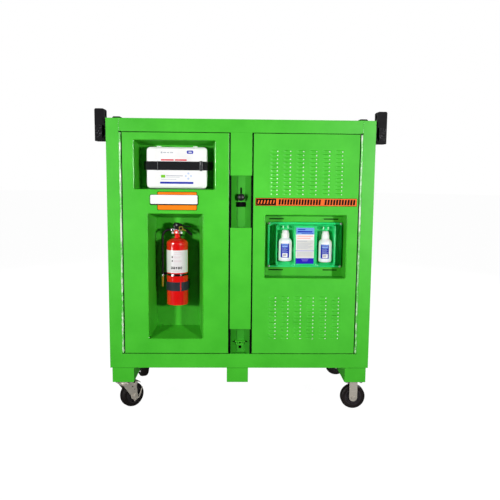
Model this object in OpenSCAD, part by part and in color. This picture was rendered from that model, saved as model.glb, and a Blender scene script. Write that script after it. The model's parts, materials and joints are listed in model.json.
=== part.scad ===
// Jobsite safety cabinet on casters.
// Sheet-steel body with two outward-opening doors, a centre lock post, outside pockets for a
// first aid case, a fire extinguisher and an eyewash station, skids, lift brackets and casters.
// +X is to the right, +Y to the back, +Z up. The origin is on the floor, under the middle.

/* [Body] */
// Width over the side walls
body_w = 1524; // [1500:1:1560]
// Depth from the front face to the back face
body_d = 762; // [740:1:800]
// Height of the steel body above its skids
body_h = 1444; // [1430:1:1450]
// Thickness of the body sheet
sheet = 2.5; // [2:0.25:3]
// Width of the folded front stile at each side
stile_w = 72; // [70:1:76]
// Height of the rail under the doors
bottom_rail_h = 85; // [70:1:90]
// Height of the rail over the doors
top_rail_h = 74; // [70:1:90]
// Depth of the folds behind the front face
fold_d = 42; // [38:1:48]

/* [Doors] */
// Gap between a door and the frame above and below it
door_gap = 4; // [3.5:0.5:6]
// Depth of a door's edge folds
door_d = 35; // [30:1:38]
// Distance from a hinge axis to the stile, and to the door
hinge_gap = 6; // [6:0.5:8]
// Outer radius of the hinge knuckles
knuckle_r = 5; // [4.5:0.1:5]
// Radius of the hinge pins
pin_r = 2.5; // [2:0.1:3]
// Number of knuckles along a hinge, both leaves together
knuckles = 26; // [14:2:30]

/* [Centre post] */
// Width of the centre post
post_w = 122; // [120:1:128]
// Gap between the centre post and each door
post_gap = 9; // [5:0.5:10]
// Depth of the centre post
post_d = 60; // [58:1:70]
// Depth of the lock recesses
recess_d = 42; // [38:1:43]
// Travel of the lock bar
lock_travel = 45; // [30:1:48]
// Diameter of the lock knob
knob_d = 43; // [36:1:46]

/* [Pockets] */
// Depth of the first aid pocket
aid_d = 130; // [125:1:140]
// Depth of the extinguisher pocket
ext_pocket_d = 165; // [160:1:180]
// Depth of the eyewash pocket
wash_d = 100; // [98:1:110]

/* [Louvres] */
// Louvres in a row
louvre_cols = 6; // [2:1:6]
// Rows of louvres in a block
louvre_rows = 12; // [2:1:12]
// Length of a louvre
louvre_len = 51; // [40:1:56]
// Length of the slope at each end of a louvre
louvre_ramp = 14; // [10:0.5:16]
// How far the louvres, knuckles and hoods stand out from the front face
proud = 6; // [6:0.5:8]

/* [Extinguisher] */
// Radius of the extinguisher's cylinder
ext_r = 63; // [60:0.5:64]
// Height of the cylinder's foot above the floor
ext_z = 632; // [620:1:640]

/* [Base] */
// Height of a skid
skid_h = 90; // [80:1:94]
// Width of a skid
skid_w = 126; // [118:1:130]
// Offset of the centre skid from the middle of the body
skid_offset = -14; // [-20:1:20]
// Height of a caster, from the floor to the top of its plate
caster_h = 181; // [180:1:190]
// Radius of a caster's tyre
wheel_r = 74; // [70:0.5:74]
// Width of a caster's tyre
wheel_w = 50; // [40:1:50]
// Distance from a swivel axis to the wheel's axle
trail = 45; // [35:1:45]
// Direction that the front swivel caster trails in, from +X towards +Y
front_swivel = 42; // [-180:1:180]
// Direction that the rear swivel caster trails in, from +X towards +Y
rear_swivel = -65; // [-180:1:180]

/* [Lift brackets] */
// Width of a lift bracket's box
lift_w = 53; // [48:1:56]
// Depth of a lift bracket's box
lift_d = 82; // [76:1:90]
// Height of a lift bracket's box
lift_h = 181; // [170:1:190]
// Radius of the lifting eye
eye_r = 14; // [12:0.5:16]

/* [Hidden] */
$fn = 48;
eps = 0.01;
floor_z = caster_h + skid_h;
top_z = floor_z + body_h;
front_y = -(body_d + proud) / 2 + proud;
rear_y = front_y + body_d;
half_w = body_w / 2;
stile_x = half_w - stile_w;
opening_z0 = floor_z + bottom_rail_h;
opening_z1 = top_z - top_rail_h;
hinge_x = stile_x - hinge_gap;
door_x1 = hinge_x - hinge_gap;
door_x0 = post_w / 2 + post_gap;
door_z0 = opening_z0 + door_gap;
door_z1 = opening_z1 - door_gap;
post_x = post_w / 2;
leaf_t = hinge_gap - 4;
leaf_d = 32;

// lock: recess heights, latch finger heights and the plane of the bar
upper_recess = [1102, 1401];
lower_recess = [opening_z0, 506];
finger_z = [600, 960, 1480];
finger_reach = 77;
bar_y0 = front_y + 47;
bar_y1 = front_y + 53;
knob_z = 1277;

// pocket openings in the doors: x0, x1, z0, z1, and how far each wall leans in
aid = [-610, -147, 1317, 1597];
aid_lean = [18, 18, 6, 26];
ext_pocket = [-534, -217, 446, 1182];
ext_lean = [30, 32, 42, 36];
wash = [138, 612, 809, 1180];
wash_lean = [10, 7, 0, 16];
pan_t = 2;
lip_w = 12;

// louvre blocks: right-hand end of the first column, and the heights of the top rows
louvre_x = 214;
louvre_dx = 74;
louvre_dz = 22;
louvre_top = [1541, 696];

// extinguisher
ext_x = -373.5;
ext_y = front_y + 96;
neck_z = ext_z + 402;
lever_pivot = [ext_x - 12, neck_z + 74];
hose_x = ext_x - 87;
hose_r = 7;
hose_bend = 44;
port_z = neck_z + 46;
port_x = ext_x - 24;
pin_at = [ext_x + 16, neck_z + 62.9];

// first aid case
case_x = -369;
case_w = 346;
case_z0 = 1323.5;
case_h = 235;
case_front = front_y + 38;
case_split = front_y + 88;
case_back = front_y + aid_d - 2;

// eyewash tray and bottles
tray = [157, 602, 860, 1132];
tray_body = [206, 558, 876, 1118];
tray_front = front_y + 30;
bay_x = [[211, 315], [432, 553]];
bottle_x = [261, 496];
bottle_r = 38;
bottle_y = front_y + 51;
bottle_z = [907, 902];

// casters
skid_x = half_w - 11 - skid_w / 2;
caster_inset = 70;
caster_y = [front_y + caster_inset, rear_y - caster_inset];
plate_t = 5;
fork_t = 5;
hub_w = wheel_w + 3;
axle_r = 6;
race_gap = 0.5;

// lift brackets: distance from the side wall to the box, and where the boxes start
lift_gap = 13;
lift_chamfer = 6;
lift_y = [front_y + 24, front_y + 538];
lift_z = top_z - 128;
eye_z = top_z + 27;

// shelves
shelf_z = [790, 1215];
shelf_y0 = front_y + 215;
shelf_t = 2;
shelf_lip = 28;

green = [0.29, 0.74, 0.20];
black = [0.10, 0.10, 0.11];
zinc = [0.72, 0.71, 0.67];

// ---- general shapes ----

// a block between two corners
module block(a, b) { translate(a) cube(b - a); }

// children on one side, and their mirror image on the other
module both_sides() {
  children();
  mirror([1, 0, 0]) children();
}

// a 2D outline in Y and Z, extruded from x0 to x1
module along_x(x0, x1) { translate([x0, 0, 0]) rotate([90, 0, 90]) linear_extrude(x1 - x0) children(); }

// a 2D outline in X and Z, extruded from y0 to y1
module along_y(y0, y1) { translate([0, y1, 0]) rotate([90, 0, 0]) linear_extrude(y1 - y0) children(); }

// a rectangle with round corners, made of rectangles and circles
module round_rect(x0, x1, z0, z1, r) {
  translate([x0 + r, z0]) square([x1 - x0 - 2 * r, z1 - z0]);
  translate([x0, z0 + r]) square([x1 - x0, z1 - z0 - 2 * r]);
  for (x = [x0 + r, x1 - r], z = [z0 + r, z1 - r]) translate([x, z]) circle(r);
}

// a box whose walls lean in by lean = [x0, x1, z0, z1] from y0 to y1
module leaning_box(r, lean, y0, y1) {
  intersection() {
    translate([0, 0, r[2] - 1]) linear_extrude(r[3] - r[2] + 2)
      polygon([[r[0], y0], [r[1], y0], [r[1] - lean[1], y1], [r[0] + lean[0], y1]]);
    along_x(r[0] - 1, r[1] + 1)
      polygon([[y0, r[2]], [y0, r[3]], [y1, r[3] - lean[3]], [y1, r[2] + lean[2]]]);
  }
}

// a hexagonal bolt head or nut, its axis along Z
module hex_head(r, h) { cylinder(r = r, h = h, $fn = 6); }

// ---- body shell ----

module lift_bolt_places() {
  for (y = lift_y, dy = [-11, lift_d + 11], z = [lift_z + 24, lift_z + 92])
    translate([-half_w, y + dy, z]) rotate([0, 90, 0]) children();
}

module side_panel() {
  color(green) difference() {
    union() {
      block([-half_w, front_y, floor_z], [-half_w + sheet, rear_y, top_z]);
      block([-half_w, front_y, floor_z], [-stile_x, front_y + sheet, top_z]);
      block([-stile_x - sheet, front_y, opening_z0], [-stile_x, front_y + fold_d, opening_z1]);
    }
    lift_bolt_places() translate([0, 0, -1]) cylinder(r = 5.2, h = sheet + 2);
  }
}

module back_panel() {
  color(green) difference() {
    block([-half_w + sheet, rear_y - 16, floor_z + 3], [half_w - sheet, rear_y, top_z - sheet]);
    block([-half_w + 2 * sheet, rear_y - 17, floor_z + 3 + sheet],
      [half_w - 2 * sheet, rear_y - sheet, top_z - 2 * sheet]);
  }
}

module roof_panel() {
  color(green) {
    block([-half_w + sheet, front_y + sheet, top_z - sheet], [half_w - sheet, rear_y, top_z]);
    for (x = [-half_w + sheet, half_w - 2 * sheet])
      block([x, front_y + sheet, top_z - 24], [x + sheet, rear_y - 16, top_z - sheet]);
  }
}

module floor_panel() {
  color(green)
    block([-half_w + sheet, front_y + sheet, floor_z], [half_w - sheet, rear_y, floor_z + 3]);
}

module top_rail() {
  color(green) {
    block([-stile_x, front_y, opening_z1], [stile_x, front_y + sheet, top_z]);
    block([-stile_x, front_y, opening_z1], [stile_x, front_y + fold_d, opening_z1 + sheet]);
  }
}

module bottom_rail() {
  color(green) {
    block([-stile_x, front_y, floor_z], [stile_x, front_y + sheet, opening_z0]);
    block([-stile_x, front_y, opening_z0 - sheet], [stile_x, front_y + fold_d, opening_z0]);
  }
}

module shelves() {
  color([0.62, 0.64, 0.62]) for (z = shelf_z) {
    block([-half_w + 6, shelf_y0, z - shelf_t], [half_w - 6, rear_y - 20, z]);
    block([-half_w + 6, shelf_y0, z - shelf_lip], [half_w - 6, shelf_y0 + shelf_t, z]);
    block([-half_w + 6, rear_y - 20 - shelf_t, z - shelf_lip], [half_w - 6, rear_y - 20, z]);
  }
}

module shelf_brackets() {
  color(green) both_sides() for (z = shelf_z) {
    block([-half_w + sheet, shelf_y0 + 12, z - 22], [-half_w + sheet + 3, rear_y - 34, z - shelf_t]);
    block([-half_w + sheet, shelf_y0 + 12, z - shelf_t - 3], [-half_w + 30, rear_y - 34, z - shelf_t]);
  }
}

// ---- skids and lift brackets ----

module skid(x, bolted) {
  color(green) difference() {
    block([x - skid_w / 2, front_y + 6, caster_h], [x + skid_w / 2, rear_y - 6, floor_z]);
    block([x - skid_w / 2 + 4, front_y + 10, caster_h + 4], [x + skid_w / 2 - 4, rear_y - 10, floor_z + 1]);
    if (bolted) caster_bolt_places(x) cylinder(r = 5.2, h = 30, center = true);
  }
}

module lift_bracket() {
  x0 = -half_w - lift_gap - lift_w;
  x1 = x0 + lift_w;
  z1 = lift_z + lift_h;
  c = lift_chamfer;
  for (y = lift_y) difference() {
    union() {
      along_y(y, y + lift_d)
        polygon([[x0, lift_z], [x0, z1 - c], [x0 + c, z1], [x1 - c, z1], [x1, z1 - c], [x1, lift_z]]);
      block([x1 - 1, y + 12, lift_z + 14], [-half_w - 6, y + lift_d - 12, lift_z + 106]);
      block([-half_w - 6, y - 18, lift_z + 8], [-half_w, y + lift_d + 18, lift_z + 112]);
    }
    block([x0 + 5, y + 5, lift_z - 1], [x1 - 5, y + lift_d - 5, z1 - c]);
    translate([x0 - 1, y + lift_d / 2, eye_z]) rotate([0, 90, 0]) cylinder(r = eye_r, h = lift_w + 2);
    translate([-6, 0, 0]) lift_bolt_places() translate([0, 0, -1]) cylinder(r = 5.2, h = 8);
  }
}

module lift_brackets() { color(black) both_sides() lift_bracket(); }

module lift_bracket_bolts() {
  color(zinc) both_sides() lift_bolt_places() {
    translate([0, 0, -12]) hex_head(9, 6);
    translate([0, 0, -12]) cylinder(r = 5, h = 24);
    translate([0, 0, sheet]) hex_head(9, 7);
  }
}

// ---- centre post and lock ----

module center_post() {
  color(green) difference() {
    block([-post_x, front_y, opening_z0], [post_x, front_y + post_d, opening_z1]);
    block([-post_x + sheet, front_y + sheet, opening_z0 - 1],
      [post_x - sheet, front_y + post_d - sheet, opening_z1 + 1]);
    block([-post_x + 16, front_y + post_d - 5, opening_z0 - 1],
      [post_x - 16, front_y + post_d + 1, opening_z1 + 1]);
    for (z = [upper_recess, lower_recess])
      block([-post_x + sheet, front_y - 1, z[0]], [post_x - sheet, front_y + sheet + 1, z[1]]);
    for (z = finger_z)
      block([-post_x - 1, bar_y0 - 2, z - 12], [post_x + 1, bar_y1 + 2, z + lock_travel + 12]);
  }
}

module recess_outline(grow) {
  w = post_x - sheet;
  polygon([[-w + 2 - grow, -grow], [w - 2 + grow, -grow], [w - 2 + grow, 1],
    [24 + grow, recess_d - 2 + grow], [-24 - grow, recess_d - 2 + grow], [-w + 2 - grow, 1]]);
}

module recess_pan(z) {
  translate([0, front_y, 0]) intersection() {
    difference() {
      translate([0, 0, z[0]]) linear_extrude(z[1] - z[0]) recess_outline(2);
      translate([0, 0, z[0] + 2]) linear_extrude(z[1] - z[0] - 4) recess_outline(0);
      block([-post_x + sheet + 2, -5, z[0] + 2], [post_x - sheet - 2, 1, z[1] - 2]);
    }
    block([-post_x, 0, z[0]], [post_x, post_d, z[1]]);
  }
}

module lock_recess_upper() {
  color(green) difference() {
    recess_pan(upper_recess);
    block([-5.3, front_y + 30, knob_z - 6], [5.3, front_y + 60, knob_z + lock_travel + 10]);
    block([-29, front_y + 31, 1220], [29, front_y + 60, 1249]);
  }
}

module lock_recess_lower() {
  color(green) difference() {
    recess_pan(lower_recess);
    block([-8, front_y + 30, 379], [8, front_y + 60, 395]);
  }
}

module foot_bracket() {
  back = front_y + recess_d - 2;
  color(green) {
    block([-30, back - 26, 425], [30, back - 8, 430]);
    block([-23, back - 9, 425], [23, back, 430]);
    block([-23, back - 4, 402], [23, back, 426]);
    for (x = [-17, 17]) translate([x, back - 10, 413]) rotate([-90, 0, 0]) hex_head(6, 7);
    for (x = [-8, 8]) block([x - 2, back - 22, 412], [x + 2, back - 3, 426]);
  }
}

module lock_guides() {
  color(zinc) for (z = [700, 1234, 1572]) difference() {
    union() {
      block([-post_x + sheet, bar_y1 + 0.6, z - 18], [post_x - sheet, bar_y1 + 3.6, z + 18]);
      for (x = [-1, 1]) translate([x * 20.5, 0, 0])
        block([-4, bar_y0 - 1, z - 14], [4, bar_y1 + 1, z + 14]);
    }
    translate([-40, (bar_y0 + bar_y1) / 2 - 0.5, z]) rotate([0, 90, 0]) cylinder(r = 3, h = 80);
  }
}

module lock_bar() {
  color(black) {
    block([-14, bar_y0, 410], [14, bar_y1, 1585]);
    for (z = finger_z) block([-finger_reach, bar_y0, z - 8], [finger_reach, bar_y1, z + 8]);
    translate([0, front_y + 14, knob_z]) rotate([-90, 0, 0]) cylinder(r = 5, h = 34);
  }
}

module lock_knob() {
  r = knob_d / 2;
  color(black) translate([0, front_y + 24, knob_z]) rotate([90, 0, 0]) difference() {
    rotate_extrude() {
      square([r * 0.5, 10]);
      translate([0, 6]) intersection() {
        translate([0, 8]) scale([1, 0.75]) circle(r);
        translate([0, 0]) square([r, 26]);
      }
    }
    translate([0, 0, -1]) cylinder(r = 5, h = 11);
  }
}

// ---- doors ----

// the knuckles that belong to one leaf, or the room that the other leaf's knuckles need
module knuckle_stack(first, r, grow) {
  pitch = (door_z1 - door_z0 - 4) / knuckles;
  for (i = [first : 2 : knuckles - 1])
    translate([-hinge_x, front_y, door_z0 + 2 + i * pitch - grow])
      cylinder(r = r, h = pitch - 0.5 + 2 * grow);
}

module hinge_bore() {
  translate([-hinge_x, front_y, door_z0]) cylinder(r = pin_r + 0.05, h = door_z1 - door_z0);
}

// the left-hand leaf on the frame
module frame_leaf() {
  difference() {
    union() {
      block([-stile_x, front_y, door_z0 + 2], [-stile_x + leaf_t, front_y + leaf_d, door_z1 - 2]);
      knuckle_stack(1, knuckle_r, 0);
    }
    knuckle_stack(0, knuckle_r + 0.5, 0.25);
    hinge_bore();
  }
}

// the left-hand leaf on the door, with its pin
module door_leaf() {
  difference() {
    union() {
      block([-door_x1 - leaf_t, front_y, door_z0 + 2], [-door_x1, front_y + leaf_d, door_z1 - 2]);
      knuckle_stack(0, knuckle_r, 0);
    }
    knuckle_stack(1, knuckle_r + 0.5, 0.25);
    hinge_bore();
  }
  translate([-hinge_x, front_y, door_z0 + 0.5]) cylinder(r = pin_r, h = door_z1 - door_z0 - 1);
}

module hinge_frame_leaves() { color(green) both_sides() frame_leaf(); }

// a folded door sheet between x0 and x1, open at the back
module door_tray(x0, x1) {
  difference() {
    block([x0, front_y, door_z0], [x1, front_y + door_d, door_z1]);
    block([x0 + sheet, front_y + sheet, door_z0 + sheet],
      [x1 - sheet, front_y + door_d + 1, door_z1 - sheet]);
  }
}

// a channel ring behind the sheet, and the keepers that the latch fingers rise behind
module door_stiffener() {
  x0 = door_x0 + sheet;
  x1 = door_x1 - sheet;
  z0 = door_z0 + sheet;
  z1 = door_z1 - sheet;
  w = 22;
  d = 28;
  difference() {
    block([x0, front_y + sheet, z0], [x1, front_y + d, z1]);
    block([x0 + w, front_y, z0 + w], [x1 - w, front_y + d + 1, z1 - w]);
    difference() {
      block([x0 + 2, front_y, z0 + 2], [x1 - 2, front_y + d - 2, z1 - 2]);
      block([x0 + w - 2, front_y - 1, z0 + w - 2], [x1 - w + 2, front_y + d, z1 - w + 2]);
    }
  }
  for (z = finger_z) {
    block([finger_reach + 3, front_y + d + 0.05, z + 28], [finger_reach + 7, bar_y1 + 7, z + 60]);
    block([finger_reach - 5, bar_y1 + 3, z + 28], [finger_reach + 2.95, bar_y1 + 7, z + 60]);
  }
}

// a pressed pocket welded behind an opening in a door sheet
module pocket(r, lean, d) {
  y0 = front_y + sheet;
  outer = [r[0] - pan_t, r[1] + pan_t, r[2] - pan_t, r[3] + pan_t];
  difference() {
    union() {
      leaning_box(outer, lean, y0, front_y + d + pan_t);
      block([r[0] - lip_w, y0, r[2] - lip_w], [r[1] + lip_w, y0 + pan_t, r[3] + lip_w]);
    }
    leaning_box(r, lean, y0 - eps, front_y + d);
  }
}

module left_door_skin() {
  color(green) difference() {
    door_tray(-door_x1, -door_x0);
    block([aid[0], front_y - 1, aid[2]], [aid[1], front_y + sheet + 1, aid[3]]);
    block([ext_pocket[0], front_y - 1, ext_pocket[2]], [ext_pocket[1], front_y + sheet + 1, ext_pocket[3]]);
  }
}

// sections through the outside and the inside of a louvre hood, which is open at its lower edge
module hood_outside() {
  polygon([[eps, 6], [-3, 4.6], [-5.2, 1.6], [-proud, -2.4], [-proud, -5], [eps, -5]]);
}

module hood_inside() { polygon([[1, 4], [eps, 4], [-3, 2.6], [-4.6, -2.2], [-4.6, -6], [1, -6]]); }

// plan of a louvre hood whose ends slope down to the sheet
module hood_plan(inset) {
  polygon([[inset, eps], [louvre_ramp + inset, -proud], [louvre_len - louvre_ramp - inset, -proud],
    [louvre_len - inset, eps]]);
}

module louvre_places() {
  for (top = louvre_top, i = [0 : louvre_cols - 1], j = [0 : louvre_rows - 1])
    translate([louvre_x + i * louvre_dx - louvre_len, front_y, top - j * louvre_dz]) children();
}

module louvre_hood() {
  difference() {
    intersection() {
      along_x(0, louvre_len) hood_outside();
      translate([0, 0, -6]) linear_extrude(14) hood_plan(0);
    }
    intersection() {
      along_x(louvre_ramp - 4, louvre_len - louvre_ramp + 4) hood_inside();
      translate([0, 0, -6]) linear_extrude(14) hood_plan(4);
    }
  }
}

module right_door_skin() {
  color(green) {
    difference() {
      door_tray(door_x0, door_x1);
      block([wash[0], front_y - 1, wash[2]], [wash[1], front_y + sheet + 1, wash[3]]);
      louvre_places() block([louvre_ramp - 4, -1, -5], [louvre_len - louvre_ramp + 4, sheet + 1, 4]);
    }
    louvre_places() louvre_hood();
  }
}

module first_aid_pocket() { color(green) pocket(aid, aid_lean, aid_d); }

module extinguisher_pocket() { color(green) pocket(ext_pocket, ext_lean, ext_pocket_d); }

module eyewash_pocket() {
  color(green) difference() {
    pocket(wash, wash_lean, wash_d);
    for (x = [168, 491], z = [841, 1145.5])
      block([x, front_y + wash_d - 1, z], [x + 86, front_y + wash_d + 5, z + 6]);
  }
}

// ---- first aid case ----

module case_outline(inset) {
  round_rect(case_x - case_w / 2 + inset, case_x + case_w / 2 - inset, case_z0 + inset,
    case_z0 + case_h - inset, 22 - inset);
}

module first_aid_case() {
  color([0.90, 0.90, 0.89]) difference() {
    along_y(case_split + 0.2, case_back) case_outline(0);
    along_y(case_split - 1, case_back - 2.5) case_outline(2.5);
  }
}

module first_aid_lid() {
  color([0.93, 0.93, 0.92]) {
    difference() {
      union() {
        along_y(case_front + 3, case_split) case_outline(0);
        along_y(case_front, case_front + 3) case_outline(4);
      }
      along_y(case_front + 2.5, case_split + 1) case_outline(6.5);
    }
    for (x = [case_x - 104, case_x + 104])
      translate([x - 13, case_split - 26, case_z0 + case_h - eps]) cube([26, 22, 6]);
  }
}

// webbing from the pocket's back, round the front of the case
module first_aid_strap() {
  x = case_w / 2;
  t = 2;
  anchor = x + 26;
  back = front_y + aid_d - 0.5;
  color(black) {
    translate([case_x, 0, 1427]) linear_extrude(50) polygon([
      [-anchor, back], [-anchor, back - 3], [-x - 5, case_front + 8], [-x - 2, case_front - 1 - t],
      [x + 2, case_front - 1 - t], [x + 5, case_front + 8], [anchor, back - 3], [anchor, back],
      [anchor - 3, back], [x + 5 - t, case_front + 9], [x + 0.5, case_front - 1],
      [-x - 0.5, case_front - 1], [-x - 5 + t, case_front + 9], [-anchor + 3, back]]);
    for (dx = [-108, 139])
      block([case_x + dx - 4, case_front - 6, 1423], [case_x + dx + 4, case_front - 0.5, 1481]);
  }
}

// ---- fire extinguisher ----

module extinguisher_bracket() {
  back = front_y + ext_pocket_d;
  color(black) {
    block([ext_x - 16, back - 3.4, ext_z + 60], [ext_x + 16, back, neck_z + 16]);
    difference() {
      block([ext_x - 27, ext_y - 6, neck_z + 8], [ext_x + 27, back - 1, neck_z + 12]);
      translate([ext_x, ext_y, neck_z]) cylinder(r = 16.5, h = 20);
      block([ext_x - 16.5, ext_y - 10, neck_z], [ext_x + 16.5, ext_y, neck_z + 20]);
    }
  }
}

module extinguisher_cylinder() {
  dome = 34;
  shoulder = neck_z - dome - ext_z;
  color([0.80, 0.07, 0.06]) translate([ext_x, ext_y, ext_z]) rotate_extrude() {
    difference() {
      union() {
        translate([0, 8]) square([ext_r, shoulder - 8]);
        translate([0, 8]) scale([1, 8 / ext_r]) intersection() {
          circle(ext_r);
          translate([0, -ext_r]) square([ext_r, ext_r]);
        }
        translate([0, shoulder]) scale([1, dome / ext_r]) intersection() {
          circle(ext_r);
          square(ext_r);
        }
      }
      translate([0, 12]) square([ext_r - 2, shoulder - 16]);
    }
    translate([0, shoulder + dome - 6]) square([16, 30]);
  }
}

module extinguisher_valve() {
  color([0.75, 0.75, 0.76]) {
    translate([ext_x, ext_y, neck_z + 24]) {
      cylinder(r = 17, h = 5, $fn = 64);
      cylinder(r = 12, h = 30);
      translate([-14, -9, 24]) cube([34, 18, 12]);
    }
    translate([port_x, ext_y, port_z]) rotate([0, 90, 0]) cylinder(r = 9, h = 24);
    translate([ext_x + 8, ext_y, neck_z + 38]) rotate([0, 90, 0]) cylinder(r = 6.5, h = 16);
  }
}

module extinguisher_gauge() {
  color([0.85, 0.83, 0.75]) translate([ext_x - 3, ext_y - 12.05, neck_z + 34]) rotate([90, 0, 0]) {
    cylinder(r = 5, h = 7);
    translate([0, 0, 6]) cylinder(r = 12.5, h = 7);
  }
}

module extinguisher_handle() {
  color(black) difference() {
    along_y(ext_y - 13, ext_y + 13) polygon([
      [ext_x - 22, neck_z + 60.2], [ext_x + 24, neck_z + 60.2], [ext_x + 54, neck_z + 44],
      [ext_x + 83, neck_z + 20], [ext_x + 88, neck_z + 24], [ext_x + 58, neck_z + 50],
      [ext_x + 21, neck_z + 66], [ext_x - 22, neck_z + 66]]);
    translate([pin_at[0], ext_y - 30, pin_at[1]]) rotate([-90, 0, 0]) cylinder(r = 2.1, h = 60);
  }
  color(black) for (y = [-13, 10]) difference() {
    block([ext_x - 22, ext_y + y, neck_z + 64], [ext_x - 4, ext_y + y + 3, neck_z + 82]);
    translate([lever_pivot[0], ext_y + y - 1, lever_pivot[1]]) rotate([-90, 0, 0]) cylinder(r = 2.6, h = 5);
  }
}

module extinguisher_lever() {
  p = lever_pivot;
  color(black) {
    along_y(ext_y - 9.5, ext_y + 9.5) polygon([
      [p[0] - 8, p[1] - 3], [p[0] + 34, p[1] - 3], [p[0] + 42, p[1] - 5.5], [p[0] + 56, p[1] - 9.5],
      [p[0] + 92, p[1] - 12], [p[0] + 96, p[1] - 8], [p[0] + 56, p[1] - 2], [p[0] + 44, p[1] + 1],
      [p[0] + 34, p[1] + 9], [p[0] + 14, p[1] + 14], [p[0] - 4, p[1] + 14], [p[0] - 8, p[1] + 6]]);
    translate([p[0], ext_y - 14, p[1]]) rotate([-90, 0, 0]) cylinder(r = 2.5, h = 28);
  }
}

// safety pin through the handle, with its ring
module pull_pin() {
  color([0.85, 0.72, 0.10]) translate([pin_at[0], 0, pin_at[1]]) {
    translate([0, ext_y - 18, 0]) rotate([-90, 0, 0]) cylinder(r = 2, h = 36);
    translate([8, ext_y - 20, -8]) rotate([90, 0, 0]) rotate_extrude() translate([11, 0]) circle(1.6);
    translate([0, ext_y - 17, 0]) rotate([90, 0, 0]) cylinder(r = 3.4, h = 5);
  }
}

module extinguisher_hose() {
  bend_z = port_z - hose_bend;
  color(black) translate([hose_x, ext_y, 0]) {
    translate([0, 0, ext_z + 172]) cylinder(r = hose_r, h = bend_z - ext_z - 172);
    translate([hose_bend, 0, bend_z]) rotate([90, 0, 180])
      rotate_extrude(angle = 90) translate([hose_bend, 0]) circle(hose_r);
    translate([hose_bend, 0, port_z]) rotate([0, 90, 0]) cylinder(r = hose_r, h = port_x - hose_x - hose_bend);
    translate([hose_bend + 8, 0, port_z]) rotate([0, 90, 0]) hex_head(9.5, 10.8);
  }
}

module hose_nozzle() {
  color([0.72, 0.56, 0.05]) translate([hose_x, ext_y, ext_z + 108]) {
    difference() {
      rotate_extrude() polygon([[0, 0], [5.5, 0], [7.4, 3], [7.4, 42], [8.5, 46], [8.5, 64], [0, 64]]);
      translate([0, 0, -1]) cylinder(r = 3, h = 40);
    }
  }
}

module hose_band() {
  color(black) translate([0, 0, ext_z + 180]) difference() {
    union() {
      translate([ext_x, ext_y, 0]) cylinder(r = ext_r + 2, h = 13, $fn = 96);
      translate([hose_x, ext_y, 0]) cylinder(r = hose_r + 2.5, h = 13);
      block([hose_x, ext_y - 3, 0], [ext_x - ext_r, ext_y + 3, 13]);
    }
    translate([ext_x, ext_y, -1]) cylinder(r = ext_r + 0.2, h = 15, $fn = 96);
    translate([hose_x, ext_y, -1]) cylinder(r = hose_r + 0.2, h = 15);
  }
}

// rubber strap from the pocket's back, round the front of the cylinder
module extinguisher_strap() {
  back = front_y + ext_pocket_d - 0.5;
  out = ext_r + 3.4;
  in = ext_r + 0.4;
  color([0.14, 0.15, 0.17]) translate([0, 0, ext_z + 92]) difference() {
    union() {
      translate([ext_x, ext_y, 0]) cylinder(r = out, h = 52, $fn = 96);
      block([ext_x - out, ext_y, 0], [ext_x + out, back, 52]);
    }
    translate([ext_x, ext_y, -1]) cylinder(r = in, h = 54, $fn = 96);
    block([ext_x - in, ext_y, -1], [ext_x + in, back + 1, 53]);
  }
}

// ---- eyewash station ----

module eyewash_tray() {
  back = front_y + wash_d - 0.1;
  color([0.02, 0.62, 0.26]) difference() {
    union() {
      along_y(back - 3, back) round_rect(tray[0], tray[1], tray[2], tray[3], 18);
      difference() {
        along_y(back - 12, back) round_rect(tray[0], tray[1], tray[2], tray[3], 18);
        along_y(back - 13, back + 1) round_rect(tray[0] + 3, tray[1] - 3, tray[2] + 3, tray[3] - 3, 15);
      }
      along_y(tray_front, back) round_rect(tray_body[0], tray_body[1], tray_body[2], tray_body[3], 16);
    }
    for (i = [0, 1]) along_y(tray_front - 1, back - 6)
      round_rect(bay_x[i][0], bay_x[i][1], bottle_z[i] - 0.3, tray_body[3] - 8, 14);
    along_y(tray_front + 3, back + 1)
      round_rect(bay_x[0][1] + 4, bay_x[1][0] - 4, tray_body[2] + 4, tray_body[3] - 4, 12);
    for (x = [tray[0] + 15, tray[1] - 15], z = [tray[2] + 15, tray[3] - 15])
      translate([x, back + 1, z]) rotate([90, 0, 0]) cylinder(r = 2.5, h = 8);
  }
}

module eyewash_card() {
  color([0.90, 0.90, 0.88])
    block([322, tray_front - 1.6, 891], [427, tray_front - 0.1, 1103]);
}

module eyewash_bottle(i) {
  color([0.92, 0.93, 0.95]) translate([bottle_x[i], bottle_y, bottle_z[i]]) {
    rotate_extrude() polygon([[0, 0], [bottle_r - 5, 0], [bottle_r, 6], [bottle_r, 110],
      [bottle_r - 3, 121], [bottle_r - 10, 130], [21, 135], [21, 138], [0, 138]]);
    translate([0, 0, 138.3]) rotate_extrude()
      polygon([[0, 0], [21.5, 0], [21.5, 26], [19.5, 37], [17.5, 42.7], [0, 42.7]]);
  }
}

// ---- casters ----

module caster_bolt_places(x) {
  for (y = caster_y, dx = [-42, 42], dy = [-38, 38]) translate([x + dx, y + dy, caster_h]) children();
}

module caster_plate() {
  difference() {
    block([-56, -50, caster_h - plate_t], [56, 50, caster_h]);
    for (x = [-42, 42], y = [-38, 38]) translate([x, y, caster_h - 10]) cylinder(r = 5.2, h = 20);
  }
}

module caster_plates() {
  color(zinc) {
    for (x = [-skid_x, skid_x], y = caster_y) translate([x, y, 0]) caster_plate();
    for (y = caster_y) translate([-skid_x, y, 0]) {
      translate([0, 0, caster_h - plate_t - 9]) cylinder(r = 40, h = 9.1, $fn = 64);
      translate([0, 0, 144]) cylinder(r = 8, h = 30);
      translate([0, 0, 142.5]) hex_head(13, 6);
    }
  }
}

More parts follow.
